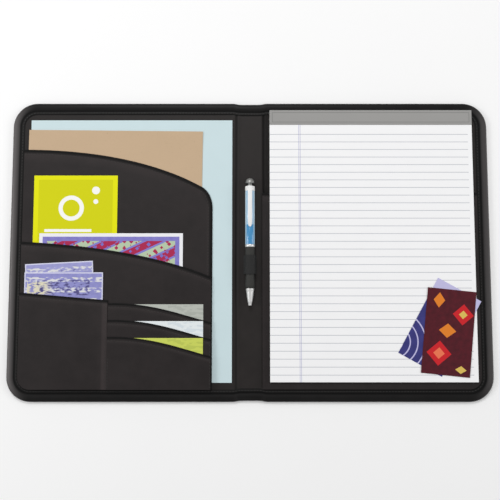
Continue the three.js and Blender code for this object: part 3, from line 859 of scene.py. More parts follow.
def near(*places):
    """Positions close together round each of the given places."""
    steps = np.array([0.4, 0.8, 1.2, 1.6, 2.1, 2.6, 3.2, 4.2])
    return np.concatenate([place + np.concatenate([-steps[::-1], [0.0], steps]) for place in places])


def merged(*groups):
    """Sorted positions with those closer than 0.3 mm left out."""
    values = np.sort(np.concatenate([np.atleast_1d(g) for g in groups]))
    keep = np.concatenate([[True], np.diff(values) > 0.3])
    return values[keep]


def corner_reach(distance, inset):
    """How far a cover reaches towards its head and its foot, at a distance from the spine's middle."""
    radius = CORNER_RADIUS - inset
    across = np.clip(distance - (EDGE_X - CORNER_RADIUS), 0, radius)
    return HALF_HEIGHT - CORNER_RADIUS + np.sqrt(np.maximum(radius**2 - across**2, 0))


def cover_grid(side, inset, columns, rows):
    """Points of one cover and half the spine, from the middle of the spine out to the given inset."""
    limit = HALF_HEIGHT - inset
    hold = HALF_HEIGHT * 0.55
    distance, height = np.meshgrid(columns, rows)
    outer = hold + (np.abs(height) - hold) * (corner_reach(distance, inset) - hold) / (limit - hold)
    y = np.where(np.abs(height) <= hold, height, np.sign(height) * outer)
    if side < 0:
        return -distance[:, ::-1], y[:, ::-1]
    return distance, y


def cover_columns(inset, *fine):
    """Distances from the middle of the spine to a cover's edge, closer where they bend or have a seam."""
    far = EDGE_X - inset
    corner = far - (CORNER_RADIUS - inset) * (1 - np.sin(np.linspace(0, math.pi / 2, 14)))
    run = np.arange(BENDING, far, 6.0)
    values = merged(np.arange(0, BENDING, 1.0), run, corner, far - RIM_STEPS, *fine)
    return np.concatenate([values[values < far - 0.2], [far]])


def cover_rows(inset, *fine):
    far = HALF_HEIGHT - inset
    values = merged(np.arange(-138, 139, 6.0), far - RIM_STEPS, RIM_STEPS - far, *fine)
    values = values[np.abs(values) < far - 0.2]
    return np.concatenate([[-far], values, [far]])


def seam_distance(seam, y):
    """How far a bowed seam lies from its edge at height y."""
    end = np.where(y > SEAM_WAIST_Y, FACE_HALF, -FACE_HALF)
    share = (y - SEAM_WAIST_Y) / (end - SEAM_WAIST_Y)
    reach = np.where(y > SEAM_WAIST_Y, seam["head"], seam["foot"])
    return seam["waist"] + (reach - seam["waist"]) * share**2


def spine_seam_x(y):
    return FOLD_X + seam_distance(SPINE_SEAM, y)


def edge_seam_x(y):
    return EDGE_X - seam_distance(EDGE_SEAM, y)


def seam_relief(offset):
    """Depth beside a welt: offset is the distance from its middle towards the fore-edge."""
    drawn_in = 0.5 * bell(offset - 1.5, 6.0)
    ridge = -0.6 * bell(offset, 1.5)
    groove = 1.25 * bell(offset - 3.1, 1.05)
    crease = 0.3 * bell(offset + 2.4, 0.7)
    return drawn_in + ridge + groove + crease


def seam_painted_light(offset):
    """Painted light beside a welt: a painted highlight on its ridge and beyond its groove, and painted shade
    in the groove and in the crease before the ridge.
    """
    ridge = 1.1 * bell(offset, 1.5) - 0.4 * bell(offset + 2.6, 0.7)
    return ridge - 1.1 * bell(offset - 3.1, 1.0) + 0.55 * bell(offset - 5.4, 1.2)


def twice(values):
    """Values of a grid for the top and the bottom of its plate."""
    return np.tile(np.ravel(values), 2)


def rim_painted_light(x, y):
    """Painted light on the outer leather: a painted highlight beside the fold and a faint one near the rim,
    and painted shade beside the binding.
    """
    distance = edge_distance(x, y)
    # A painted highlight along the rounded fold of the spine
    fold = 2.1 * bell(np.abs(x) - FOLD_X - 2.0, 1.3)
    return fold + 0.1 * bell(distance - 12.5, 3.2) - 0.8 * bell(distance - 8, 1.2)


def padded_face(x, y):
    """Depth of the outer leather: puffed up between the binding, and drawn in at its edge."""
    distance = edge_distance(x, y)
    inwards = np.maximum(distance - 7.4, 0)
    rim = 0.65 * bell(inwards, 2.4) + 0.4 * bell(inwards, 7.0)
    swell = 0.16 * bell(distance - 8, 22)
    unevenness = 0.10 + 0.07 * ripple(x, y, 58) + 0.035 * ripple(x, y, 23, 0.7)
    return 0.04 + rim + swell + unevenness


def settled(depth):
    """The depth kept between the crown of the padding and the board under it."""
    return np.maximum(MOST_DEPTH * np.tanh(depth / MOST_DEPTH), LEAST_DEPTH)


def declare(piece, nodes, body=None):
    """Hides the nodes that a piece stands for.

    It rides on the body if one is given, and otherwise has its transform baked into its mesh.
    """
    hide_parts(*nodes)
    if body is not None:
        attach(piece, body)
        return
    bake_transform(piece)


# The outer leather of the two covers, each with half the spine


def padding(side, x, y, depth):
    """The foam between a cover's leather and its board, pressed thin under the seams."""
    name = "front" if side < 0 else "back"
    top = corners(f"{name}_foam")[1][2]
    clearance = 0.02
    shell = Shell().add(*plate(x, y, depth + SKIN + clearance, top), "foam")
    nodes = (f"{name}_foam", "spine_foam")
    declare(shell.piece(f"{name}_foam_padding"), nodes)


class PADFOLIO_OT_front_leather(bpy.types.Operator):
    """Outer leather of the front cover, with its bowed seams and the outside pocket"""

    bl_idname = "padfolio.front_leather"
    bl_label = "Front leather"

    def execute(self, context):
        distance, y = self.grid()
        depth = padded_face(-distance, y)
        # Painted highlights and painted shade of the fold, rim, seams and head
        wear_and_painted_light = rim_painted_light(-distance, y)
        for seam_x in (spine_seam_x, edge_seam_x):
            depth += seam_relief(distance - seam_x(y))
            wear_and_painted_light += seam_painted_light(distance - seam_x(y))
        depth = settled(depth + self.creases(distance, y) + self.step_under_pocket(distance, y))
        wear_and_painted_light += self.head_painted_sheen(distance, y)
        shell = Shell().add(*plate(-distance, y, depth, depth + SKIN), "cover leather", wear_and_painted_light=twice(wear_and_painted_light))
        padding(-1, -distance, y, depth)
        end_room = 1.5
        seam_y = np.linspace(-FACE_HALF + end_room, FACE_HALF - end_room, 60)
        for seam_x in (spine_seam_x, edge_seam_x):
            x = -seam_x(seam_y)
            level = settled(padded_face(x, seam_y) + seam_relief(0.0)) + 0.05
            shell.add(*sewn(np.column_stack([x, seam_y, level]), up=-1.0))
        nodes = (
            "front_spine_side_panel", "front_centre_panel", "front_edge_panel",
            "spine_side_welt", "fore_edge_welt", "spine_leather",
        )
        declare(shell.piece("front_cover_leather"), nodes)
        self.outside_pocket()
        return {"FINISHED"}

    def grid(self):
        """Distances from the spine and heights, with columns that are drawn onto the two seams."""
        spine_column = 41.0
        edge_column = 210.0
        width = 6.0
        middle = (spine_column + edge_column) / 2
        far = EDGE_X - LEATHER_INSET
        columns = cover_columns(LEATHER_INSET, near(spine_column, edge_column))
        waist_row = 8.0
        creased_rows = np.arange(108, 126, 1.5)
        rows = cover_rows(LEATHER_INSET, near(waist_row), creased_rows)
        x, y = cover_grid(-1, LEATHER_INSET, columns, rows)
        distance = -x
        for column, seam_x, start, end in (
            (spine_column, spine_seam_x, 0, middle), (edge_column, edge_seam_x, middle, far)
        ):
            pull = np.interp(-x, [start, column - width, column + width, end], [0, 1, 1, 0])
            distance = distance + pull * (seam_x(y) - column)
        return distance, y

    def creases(self, distance, y):
        """Two faint slanting creases near the head of the middle panel."""
        crease_middle = 147.0
        from_middle = distance - crease_middle
        depth = 0.0
        for crease_y, strength in ((116.0, 0.16), (112.5, 0.1)):
            line = crease_y + 1.6 * np.sin(distance / 9.0) + from_middle * 0.05
            depth = depth + strength * bell(from_middle, 26) * bell(y - line, 1.3)
        return depth

    def head_painted_sheen(self, distance, y):
        """A painted sheen along the cover's head, which fades out towards the spine."""
        head_band = 12.0
        spine_band = 12.0
        across = np.clip((distance - spine_band) / spine_band, 0, 1)
        return 0.6 * bell(np.maximum(HALF_HEIGHT - head_band - y, 0), 8.0) * across

    def step_under_pocket(self, distance, y):
        """The panel at the fore-edge lies deeper, which leaves room for the pocket on it."""
        return 0.42 * np.clip((distance - edge_seam_x(y) - 2.5) / 1.5, 0, 1)

    def outside_pocket(self):
        """The small pocket at the fore-edge, with a turned hem and two rows of stitches."""
        top = corners("outside_pocket")[1][1]
        seam_room = 3.1
        rows_of_stitches = (2.1, 6.9)
        between_rows = 4.5
        hold = -60.0
        far = EDGE_X - LEATHER_INSET
        low = -(HALF_HEIGHT - LEATHER_INSET)
        hem_steps = [0.0, 0.25, 0.6, 1.1, 1.7, 2.1, 2.6, 3.6, 4.9, 5.9, 6.4, 6.9, 7.4, 8.2, 10.0]
        hem = top - np.array(hem_steps)
        rows = np.concatenate([low + (hem[-1] - low) * np.linspace(0, 1, 34)[:-1], hem[::-1]])
        share = np.concatenate([[0, 0.02, 0.05, 0.09, 0.14], np.linspace(0.2, 1, 12)])
        share, y = np.meshgrid(share[::-1], rows)
        near_edge = edge_seam_x(y) + seam_room
        distance = near_edge + (far - near_edge) * share
        lowered = hold + (y - hold) * (-corner_reach(distance, LEATHER_INSET) - hold) / (low - hold)
        y = np.where(y < hold, lowered, y)
        below = top - y
        from_seam = distance - edge_seam_x(y) - seam_room
        depth = padded_face(-distance, y) - 0.03 + 0.45 * bell(from_seam, 1.0) + 0.5 * bell(below, 0.7)
        depth -= 0.08 * bell(below - between_rows, 1.6)
        # Painted highlights beside the binding and on the two rows of stitches, and painted shade between the
        # rows
        wear_and_painted_light = 0.7 * bell(EDGE_X - distance - 11.0, 1.4) - 0.4 * bell(below - between_rows, 1.2)
        for line in rows_of_stitches:
            depth += 0.16 * bell(below - line, 0.7)
            wear_and_painted_light += 0.7 * bell(below - line, 0.6)
        depth = settled(depth)
        thickness = 0.38
        shell = Shell().add(*plate(-distance, y, depth, depth + thickness), "cover leather", wear_and_painted_light=twice(wear_and_painted_light))
        for line in rows_of_stitches:
            row_y = top - line
            ends = (-edge_seam_x(row_y) - 4.5, BINDING_OUTSIDE + 0.6 - EDGE_X)
            row = np.linspace((ends[0], row_y), (ends[1], row_y), 12)
            level = settled(padded_face(row[:, 0], row[:, 1]) + 0.12)
            shell.add(*sewn(raised(row, level), up=-1.0))
        declare(shell.piece("outside_pocket_leather"), ["outside_pocket"], "front_cover")


class PADFOLIO_OT_back_leather(bpy.types.Operator):
    """Outer leather of the back cover"""

    bl_idname = "padfolio.back_leather"
    bl_label = "Back leather"

    def execute(self, context):
        x, y = cover_grid(1, LEATHER_INSET, cover_columns(LEATHER_INSET), cover_rows(LEATHER_INSET))
        depth = settled(padded_face(x, y))
        # Painted highlight along the fold and painted shade beside the binding, as on the front cover
        wear_and_painted_light = twice(rim_painted_light(x, y))
        shell = Shell().add(*plate(x, y, depth, depth + SKIN), "cover leather", wear_and_painted_light=wear_and_painted_light)
        leather = shell.piece("back_cover_leather")
        padding(1, x, y, depth)
        nodes = ("back_leather", "spine_leather")
        declare(leather, nodes)
        return {"FINISHED"}


class PADFOLIO_OT_boards(bpy.types.Operator):
    """Boards between the foam and the lining"""

    bl_idname = "padfolio.boards"
    bl_label = "Boards"

    def execute(self, context):
        for node in ("front_board", "spine_stiffener", "back_board"):
            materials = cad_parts[node].data.materials
            materials.clear()
            materials.append(finish("cover board"))
        return {"FINISHED"}


class PADFOLIO_OT_linings(bpy.types.Operator):
    """Inside lining of the covers and the spine, with a crease beside each fold"""

    bl_idname = "padfolio.linings"
    bl_label = "Linings"

    def execute(self, context):
        crease_x = 14.5
        thickness = 0.5
        for side, name in ((-1, "front"), (1, "back")):
            columns = cover_columns(LINING_INSET, near(crease_x))
            x, y = cover_grid(side, LINING_INSET, columns, cover_rows(LINING_INSET))
            away = np.abs(x) - crease_x
            height = LINING_TOP - 0.55 * bell(away, 0.9) + 0.03 * ripple(x, y, 31)
            height += 0.22 * bell(away - 2.6, 1.6) + 0.2 * bell(away + 2.4, 1.6)
            # Painted shade in the crease beside the fold, and on the back cover a wider painted shade in the
            # gutter
            wear_and_painted_light = -0.6 * bell(away, 1.3)
            if side > 0:
                wear_and_painted_light -= 0.5 * bell(away - 3.0, 3.5)
            shell = Shell().add(*plate(x, y, height - thickness, height), "lining leather", wear_and_painted_light=twice(wear_and_painted_light))
            nodes = (f"{name}_lining", "spine_lining")
            declare(shell.piece(f"{name}_lining_leather"), nodes)
        return {"FINISHED"}


# The edge binding


def cover_path(side, inset, step=3.2):
    """The line at an inset from a cover's edge, from the middle of the spine round the fore-edge and back."""
    radius = CORNER_RADIUS - inset
    centre_x = EDGE_X - CORNER_RADIUS
    centre_y = HALF_HEIGHT - CORNER_RADIUS
    run = np.linspace(BENDING, centre_x, int(centre_x / step))
    straight = np.concatenate([np.arange(0, BENDING, 1.0), run])
    angle = np.linspace(-math.pi / 2, 0, 16)
    arc = np.stack([centre_x + radius * np.cos(angle), -centre_y + radius * np.sin(angle)], 1)
    up = np.linspace(-centre_y, centre_y, int(2 * centre_y / step))
    foot = np.stack([straight, np.full(len(straight), -(HALF_HEIGHT - inset))], 1)
    edge = np.stack([np.full(len(up), EDGE_X - inset), up], 1)
    upper = [1, -1]
    path = np.concatenate([foot[:-1], arc[:-1], edge[:-1], (arc * upper)[:0:-1], (foot * upper)[::-1]])
    # The binding lies lower across the spine than along the covers
    on_spine = 0.5 - 0.5 * np.tanh((path[:, 0] - 14.0) / 2.5)
    path[:, 1] -= np.sign(path[:, 1]) * HEAD_DIP * on_spine
    if side > 0:
        return path
    return (path * [-1, 1])[::-1]


# Distance from the edge, height, and wear of the binding's section; the wear column is a painted highlight on
# the ridges and painted shade in the grooves
BINDING_SECTION = [
    (8.0, 1.35, -1.0), (7.95, 1.15, -1.0), (7.5, 0.98, -0.6), (6.9, 0.7, 0.0), (6.1, 0.36, 0.4),
    (5.3, 0.22, 1.1), (4.6, 0.22, 1.1), (3.9, 0.36, 0.4), (3.2, 0.62, -0.5), (2.6, 0.74, -0.3),
    (1.9, 0.72, 0.1), (1.2, 0.86, 0.4), (0.6, 1.3, 0.6), (0.2, 1.9, 0.8), (0.0, 2.7, 0.7),
    (0.14, 3.4, 0.5), (0.5, 4.0, 0.45), (1.1, 4.5, 0.35), (2.0, 4.9, 0.2), (3.1, 5.12, 0.1),
    (4.4, 5.2, 0.1), (5.6, 5.14, 0.1), (6.7, 4.98, 0.0), (7.7, 4.76, -0.4), (8.5, 4.6, -1.2),
    (9.2, 4.7, -0.8), (10.0, 4.84, 0.0), (10.9, 4.9, 0.0), (11.8, 4.84, 0.0), (12.5, 4.7, -0.4),
    (12.9, 4.5, -1.0), (12.95, 4.2, -1.0), (6.0, 4.15, -1.0), (1.9, 4.0, -1.0), (1.9, 1.9, -1.0),
    (4.5, 1.5, -1.0),
]


class PADFOLIO_OT_bindings(bpy.types.Operator):
    """Stitched edge binding of the covers, carried on across the spine's head and foot"""

    bl_idname = "padfolio.bindings"
    bl_label = "Bindings"

    def execute(self, context):
        outside_seam = 4.9
        outside_level = 0.2
        inside_seam = 10.9
        inside_level = 4.88
        half_thickness = 2.8
        section = np.array(BINDING_SECTION)
        rim, level, worn = section.T
        inside = level > half_thickness
        # On the inside only the painted shade of the section's wear column is kept
        painted_light_and_rub = np.where(inside, np.minimum(worn, 0.0), worn)
        for side, name in ((-1, "front"), (1, "back")):
            path = cover_path(side, 0.0)
            # Painted highlights on the binding's flanks, strongest where it runs along the fore-edge, and on
            # its outer rim
            along_edge = path_frames(path)[0][:, 1:] ** 2
            if side < 0:
                flank_highlight = 2.3 * bell(rim - 2.2, 4.6)
            else:
                flank_highlight = 1.8 * bell(rim, 1.6) + 1.1 * bell(rim - 4.2, 3.0)
            flank_highlight = np.where(inside, flank_highlight, 1.3 * bell(rim, 1.5))
            wear_and_painted_light = (painted_light_and_rub + along_edge * flank_highlight).ravel()
            shell = Shell().add(*sweep(path, section[:, :2]), "trim leather", wear_and_painted_light=wear_and_painted_light)
            shell.add(*sewn(raised(cover_path(side, outside_seam), outside_level), up=-1.0))
            inner_row = raised(cover_path(side, inside_seam), inside_level)
            shell.add(*sewn(inner_row, radius=0.28, finish_name="inside thread"))
            nodes = (f"{name}_binding", "spine_head_binding", "spine_foot_binding")
            declare(shell.piece(f"{name}_edge_binding"), nodes)
        return {"FINISHED"}


# Inside pockets


def foot_edge(x, left):
    """Height of a pocket's foot at x, with the rounded corner at its outer end."""
    inwards = np.clip(x - left, 0, INNER_CORNER)
    rise = INNER_CORNER - np.sqrt(np.maximum(INNER_CORNER**2 - (INNER_CORNER - inwards) ** 2, 0))
    return POCKET_FOOT + rise


def polyline_distance(x, y, line):
    """Distance from each point of a grid to a line of points."""
    start = line[:-1]
    step = np.diff(line, axis=0)
    length = (step**2).sum(1)
    px = x[..., None] - start[:, 0]
    py = y[..., None] - start[:, 1]
    t = np.clip((px * step[:, 0] + py * step[:, 1]) / length, 0, 1)
    return np.hypot(px - t * step[:, 0], py - t * step[:, 1]).min(-1)


def pocket_columns(left, right, *fine):
    """Positions from a pocket's left to its right side, closer at both sides and in its rounded corner."""
    rim = np.array([0.3, 0.7, 1.3, 2.1, 3.0, 3.8, 5.0])
    arc = INNER_CORNER * (1 - np.cos(np.linspace(0, math.pi / 2, 9)))
    values = merged(np.arange(left + 16, right, 5.0), left + rim, right - rim, left + arc, *fine)
    values = values[(values > left + 0.1) & (values < right - 0.1)]
    return np.concatenate([[left], values, [right]])


def pocket_grid(columns, foot, head):
    """A grid between a pocket's foot and head, with closer rows at both."""
    margin = np.array([0.0, 0.3, 0.7, 1.3, 2.1, 3.0, 3.8])
    low = foot + margin[-1]
    high = head - margin[-1]
    rows = [foot + m for m in margin[:-1]]
    rows += [low + (high - low) * f for f in np.linspace(0, 1, 26)]
    rows += [head - m for m in margin[-2::-1]]
    y = np.stack(rows)
    return np.broadcast_to(columns, y.shape), y


def seam(path, high):
    """Stitches along a flat path on a pocket's face."""
    return sewn(raised(path, high - STITCH_SINK), radius=0.26, finish_name="inside thread")


def pocket_shell(node, head_line, piping, edge_line=None, fine=(), low=None, square=False, painted_light_and_rub=None):
    """A pocket's panel with its turned edge and the stitches beside it.

    The piping runs along the edge line, which is the head line if it isn't given. low is the panel's
    underside, square says that its foot has no rounded corner, and rubbed(x) is a lighter band along a
    seam, a painted highlight as well as rubbing.
    """
    box_low, box_high = corners(node)
    high = box_high[2]
    low = high - 0.5 if low is None else low
    edge_line = head_line if edge_line is None else edge_line
    left, right = head_line[[0, -1], 0]
    columns = pocket_columns(left, right, *fine)
    foot = np.full(len(columns), box_low[1]) if square else foot_edge(columns, left)
    x, y = pocket_grid(columns, foot, np.interp(columns, head_line[:, 0], head_line[:, 1]))
    distance = polyline_distance(x, y, edge_line)
    stitch_inset = 3.4
    height = high - 0.06 - 0.2 * bell(distance - stitch_inset, 0.7) - 0.1 * bell(distance, 0.5)
    height = height + 0.05 * ripple(x, y, 34)
    # A faint painted highlight along the stitches, and a painted shadow beside the piping
    wear_and_painted_light = 0.08 * bell(distance - 3.6, 1.3) - 0.75 * bell(distance - piping / 2, 0.9)
    if painted_light_and_rub is not None:
        wear_and_painted_light = wear_and_painted_light + painted_light_and_rub(x)
    shell = Shell().add(*plate(x, y, low, height), "pocket leather", wear_and_painted_light=twice(wear_and_painted_light))
    # The piping stands a little proud of the panel on both its faces
    top = high + 0.04
    bottom = low - 0.3
    direction = edge_line[::-1]
    rolled = oval(piping, top - bottom, (0.3, (top + bottom) / 2))
    shell.add(*sweep(direction, rolled), "piping leather")
    shell.add(*seam(offset_line(direction, stitch_inset), high))
    return shell


class PADFOLIO_OT_pockets(bpy.types.Operator):
    """Pockets and card slots on the inside of the covers"""

    bl_idname = "padfolio.pockets"
    bl_label = "Pockets"

    def execute(self, context):
        self.hand_over(self.document_pocket(), "document_pocket")
        self.hand_over(self.photo_pocket(), "photo_pocket")
        self.hand_over(self.ticket_pocket(), "ticket_pocket")
        for level in ("upper", "middle", "lower"):
            self.hand_over(self.card_slot(f"card_slot_{level}"), f"card_slot_{level}")
        self.hand_over(self.pad_pocket(), "pad_pocket", "back_cover")
        return {"FINISHED"}

    def hand_over(self, shell, node, body="front_cover"):
        declare(shell.piece(f"{node}_leather"), [node], body)

    def document_pocket(self):
        low, high = corners("document_pocket")
        fall = 52.5
        shoulder_run = 13.0
        shoulder_rise = 13.5
        bend_y = high[1] - fall
        shoulder = np.array([high[0] - shoulder_run, bend_y + shoulder_rise])
        towards_shoulder = (high[0] - shoulder_run * 0.3, bend_y + shoulder_rise * 0.7)
        corner = bezier((high[0], bend_y - 10.0), (high[0], bend_y), towards_shoulder, shoulder, 18)
        run = shoulder[0] - low[0]
        falling = (shoulder[0] - run * 0.18, high[1] - fall * 0.39)
        slope = bezier(shoulder, falling, (shoulder[0] - run * 0.5, high[1]), (low[0], high[1]), 30)
        head_line = np.concatenate([corner, slope[1:]])[::-1]
        side = np.linspace((high[0], corner[0, 1]), (high[0], low[1]), 24)
        edge_line = np.concatenate([head_line, side[1:]])
        return pocket_shell("document_pocket", head_line, 3.0, edge_line, [corner[:, 0]], low=6.1)

    def photo_pocket(self):
        low, high = corners("photo_pocket")
        run = high[0] - low[0]
        fall = 37.5
        falling = (high[0] - run * 0.22, high[1] - fall * 0.5)
        level = (high[0] - run * 0.54, high[1] - fall * 0.12)
        head_line = bezier((high[0], high[1] - fall), falling, level, (low[0], high[1]), 36)[::-1]
        return pocket_shell("photo_pocket", head_line, 2.6)

    def ticket_pocket(self):
        low, high = corners("ticket_pocket")
        fall = 8.0
        head_line = np.linspace((low[0], high[1]), (high[0], high[1] - fall), 24)

        # A lighter band at the pocket's right edge, painted highlight as well as rubbing
        def painted_light_and_rub(x):
            return 0.16 * bell(np.minimum(x - high[0] + 4.2, 0), 1.6)

        shell = pocket_shell("ticket_pocket", head_line, 2.2, painted_light_and_rub=painted_light_and_rub)
        side_x = high[0] - 1.8
        side = np.linspace((side_x, low[1] + 1), (side_x, high[1] - fall - 5), 20)
        return shell.add(*seam(side, high[2]))

    def card_slot(self, node):
        low, high = corners(node)
        width = high[0] - low[0]
        fall = 20.0
        falling = (high[0] - width * 0.28, high[1] - fall * 0.62)
        level = (low[0] + width * 0.42, high[1] + fall * 0.05)
        head_line = bezier((high[0], high[1] - fall), falling, level, (low[0], high[1]), 28)[::-1]
        shell = pocket_shell(node, head_line, 1.9, square=True)
        for x in (low[0] + 1.0, high[0] - 1.0):
            shell.add(*seam(np.linspace((x, low[1] + 1), (x, high[1] - fall - 1), 20), high[2]))
        return shell

    def pad_pocket(self):
        """Built as the other pockets are, with its rounded corner at the left, and then mirrored."""
        low, high = corners("pad_pocket")
        head_line = np.linspace((-high[0], high[1]), (-low[0], high[1]), 40)
        shell = pocket_shell("pad_pocket", head_line, 2.2)
        mirror = np.array([-1.0, 1.0, 1.0])
        shell.vertices = [v * mirror for v in shell.vertices]
        shell.places = [p * mirror for p in shell.places]
        shell.faces = [face[::-1] for face in shell.faces]
        return shell


# Papers and cards


def flat(u, v):
    return 0.0 * u


def head_lift(amount, start, skew):
    """A curl towards the head, from that share of the height, which is less at the left by the skew."""
    return lambda u, v: amount * np.clip((v - start) / (1 - start), 0, 1) ** 2 * (1 - skew + skew * u)


def card_shell(centre, size, turn, level, thickness, finish_name, curl):
    """A thin sheet with slightly rounded edges. curl(u, v) lifts it, for u and v from 0 to 1."""
    rim = np.array([0.0, 0.12, 0.4])
    inner_edge = 1.5
    width, height = size

    def positions(length):
        middle = np.linspace(inner_edge, length - inner_edge, max(8, int(length / 7)))
        return np.concatenate([rim, middle, length - rim[::-1]])

    u, v = np.meshgrid(positions(width), positions(height))
    lift = curl(u / width, v / height)
    edge = np.minimum(np.minimum(u, width - u), np.minimum(v, height - v))
    rounding = 0.05 * bell(edge, 0.2)
    across = u - width / 2
    along = v - height / 2
    angle = math.radians(turn)
    x = centre[0] + across * math.cos(angle) - along * math.sin(angle)
    y = centre[1] + across * math.sin(angle) + along * math.cos(angle)
    vertices, faces = plate(x, y, level + lift + rounding, level + lift + thickness - rounding)
    local = np.stack([u, v, lift], -1).reshape(-1, 3)
    return Shell().add(vertices, faces, finish_name, np.concatenate([local, local]))


def place_card(node, name, finish_name, body, curl=flat, turn=0.0, size=None):
    """A sheet or card in the place of its node, a little thinner than that."""
    low, high = corners(node)
    clearance = 0.02
    size = (high - low)[:2] if size is None else size
    thickness = high[2] - low[2] - 2 * clearance
    shell = card_shell((low + high) / 2, size, turn, low[2] + clearance, thickness, finish_name, curl)
    declare(shell.piece(name), [node], body)


class PADFOLIO_OT_pocket_papers(bpy.types.Operator):
    """Papers and cards in the pockets of the front cover"""

    bl_idname = "padfolio.pocket_papers"
    bl_label = "Papers in the pockets"

    def execute(self, context):
        place_card("letter_paper", "letter_sheet", "letter paper", "letter")
        place_card(
            "kraft_sheet", "kraft_paper_sheet", "kraft paper", "kraft",
            head_lift(0.5, 0.89, 0.6), turn=-0.6, size=KRAFT_SIZE,
        )
        place_card("note_card", "lime_note_card", "lime card", "note")
        place_card("photo_print", "bordered_print", "photo print", "photo")
        place_card(
            "rear_ticket", "ticket_behind", "rear ticket", "ticket_behind",
            turn=3.0, size=REAR_TICKET_SIZE,
        )
        place_card(
            "front_ticket", "ticket_ahead", "front ticket", "ticket_ahead",
            head_lift(0.5, 0.6, 0.7),
        )
        for level, paint in (("upper", "grey"), ("middle", "white"), ("lower", "pale lime")):
            place_card(f"slot_card_{level}", f"{level}_slot_card", f"{paint} card", f"card_{level}")
        return {"FINISHED"}


class PADFOLIO_OT_writing_pad(bpy.types.Operator):
    """Ruled pad with its backing card and header"""

    bl_idname = "padfolio.writing_pad"
    bl_label = "Writing pad"

    def execute(self, context):
        place_card("pad_backing", "pad_backing_card", "backing card", "pad")
        self.sheet_block()
        place_card("top_sheet", "top_ruled_sheet", "ruled paper", "page")
        self.header()
        return {"FINISHED"}

    def sheet_block(self):
        """The sheets under the top one: layers that stand out a little unevenly, under a ruled sheet."""
        low, high = corners("pad_sheets")
        layers = 13
        step = (high[2] - low[2]) / layers
        shell = Shell()
        for i in range(layers):
            slip = 0.12 * math.sin(i * 2.4)
            foot_slip = 0.1 * math.cos(i * 1.7)
            u = np.linspace(low[0] + 0.1 + slip, high[0] - 0.15 + slip, 12)
            v = np.linspace(low[1] + 0.15 + foot_slip, high[1] - 0.15, 12)
            x, y = np.meshgrid(u, v)
            bottom = low[2] + i * step
            layer, faces = plate(x, y, bottom, bottom + step * 0.92)
            if i == layers - 1:
                shell.add(layer, faces, "ruled paper", layer - corners("top_sheet")[0])
            else:
                shell.add(layer, faces, "page edges")
        declare(shell.piece("pad_sheet_block"), ["pad_sheets"], "pad")

    def header(self):
        """The strip folded over the pad's head."""
        low, high = corners("pad_header")
        level = corners("top_sheet")[1][2] + 0.12
        front = low[1]
        back, top = high[1:]
        section = [
            (front, level), (front + 0.1, top - 0.12), (front + 0.35, top), (front + 2.2, top - 0.03),
            (back - 8.0, top - 0.02), (back - 1.2, top), (back - 0.3, top - 0.2), (back, top - 0.8),
            (back, low[2] + 0.3), (back - 0.15, low[2]), (back - 0.4, low[2]), (back - 0.4, level - 0.3),
        ]
        # sweep() takes offsets to the left of the path, which runs along +X here, so that left is +Y
        path = np.linspace((low[0], 0.0), (high[0], 0.0), 40)
        shell = Shell().add(*sweep(path, section[::-1]), "header paper")
        declare(shell.piece("pad_header_strip"), ["pad_header"], "pad")


class PADFOLIO_OT_loose_cards(bpy.types.Operator):
    """Two cards that lie on the pad"""

    bl_idname = "padfolio.loose_cards"
    bl_label = "Loose cards"

    def execute(self, context):
        for end, paint, turn in (("rear", "navy", 61.0), ("front", "maroon", 84.0)):
            place_card(
                f"loose_card_{end}", f"{paint}_loose_card", f"{paint} card", f"loose_{end}",
                turn=turn, size=LOOSE_CARD_SIZE,
            )
        return {"FINISHED"}


# Pen and loop


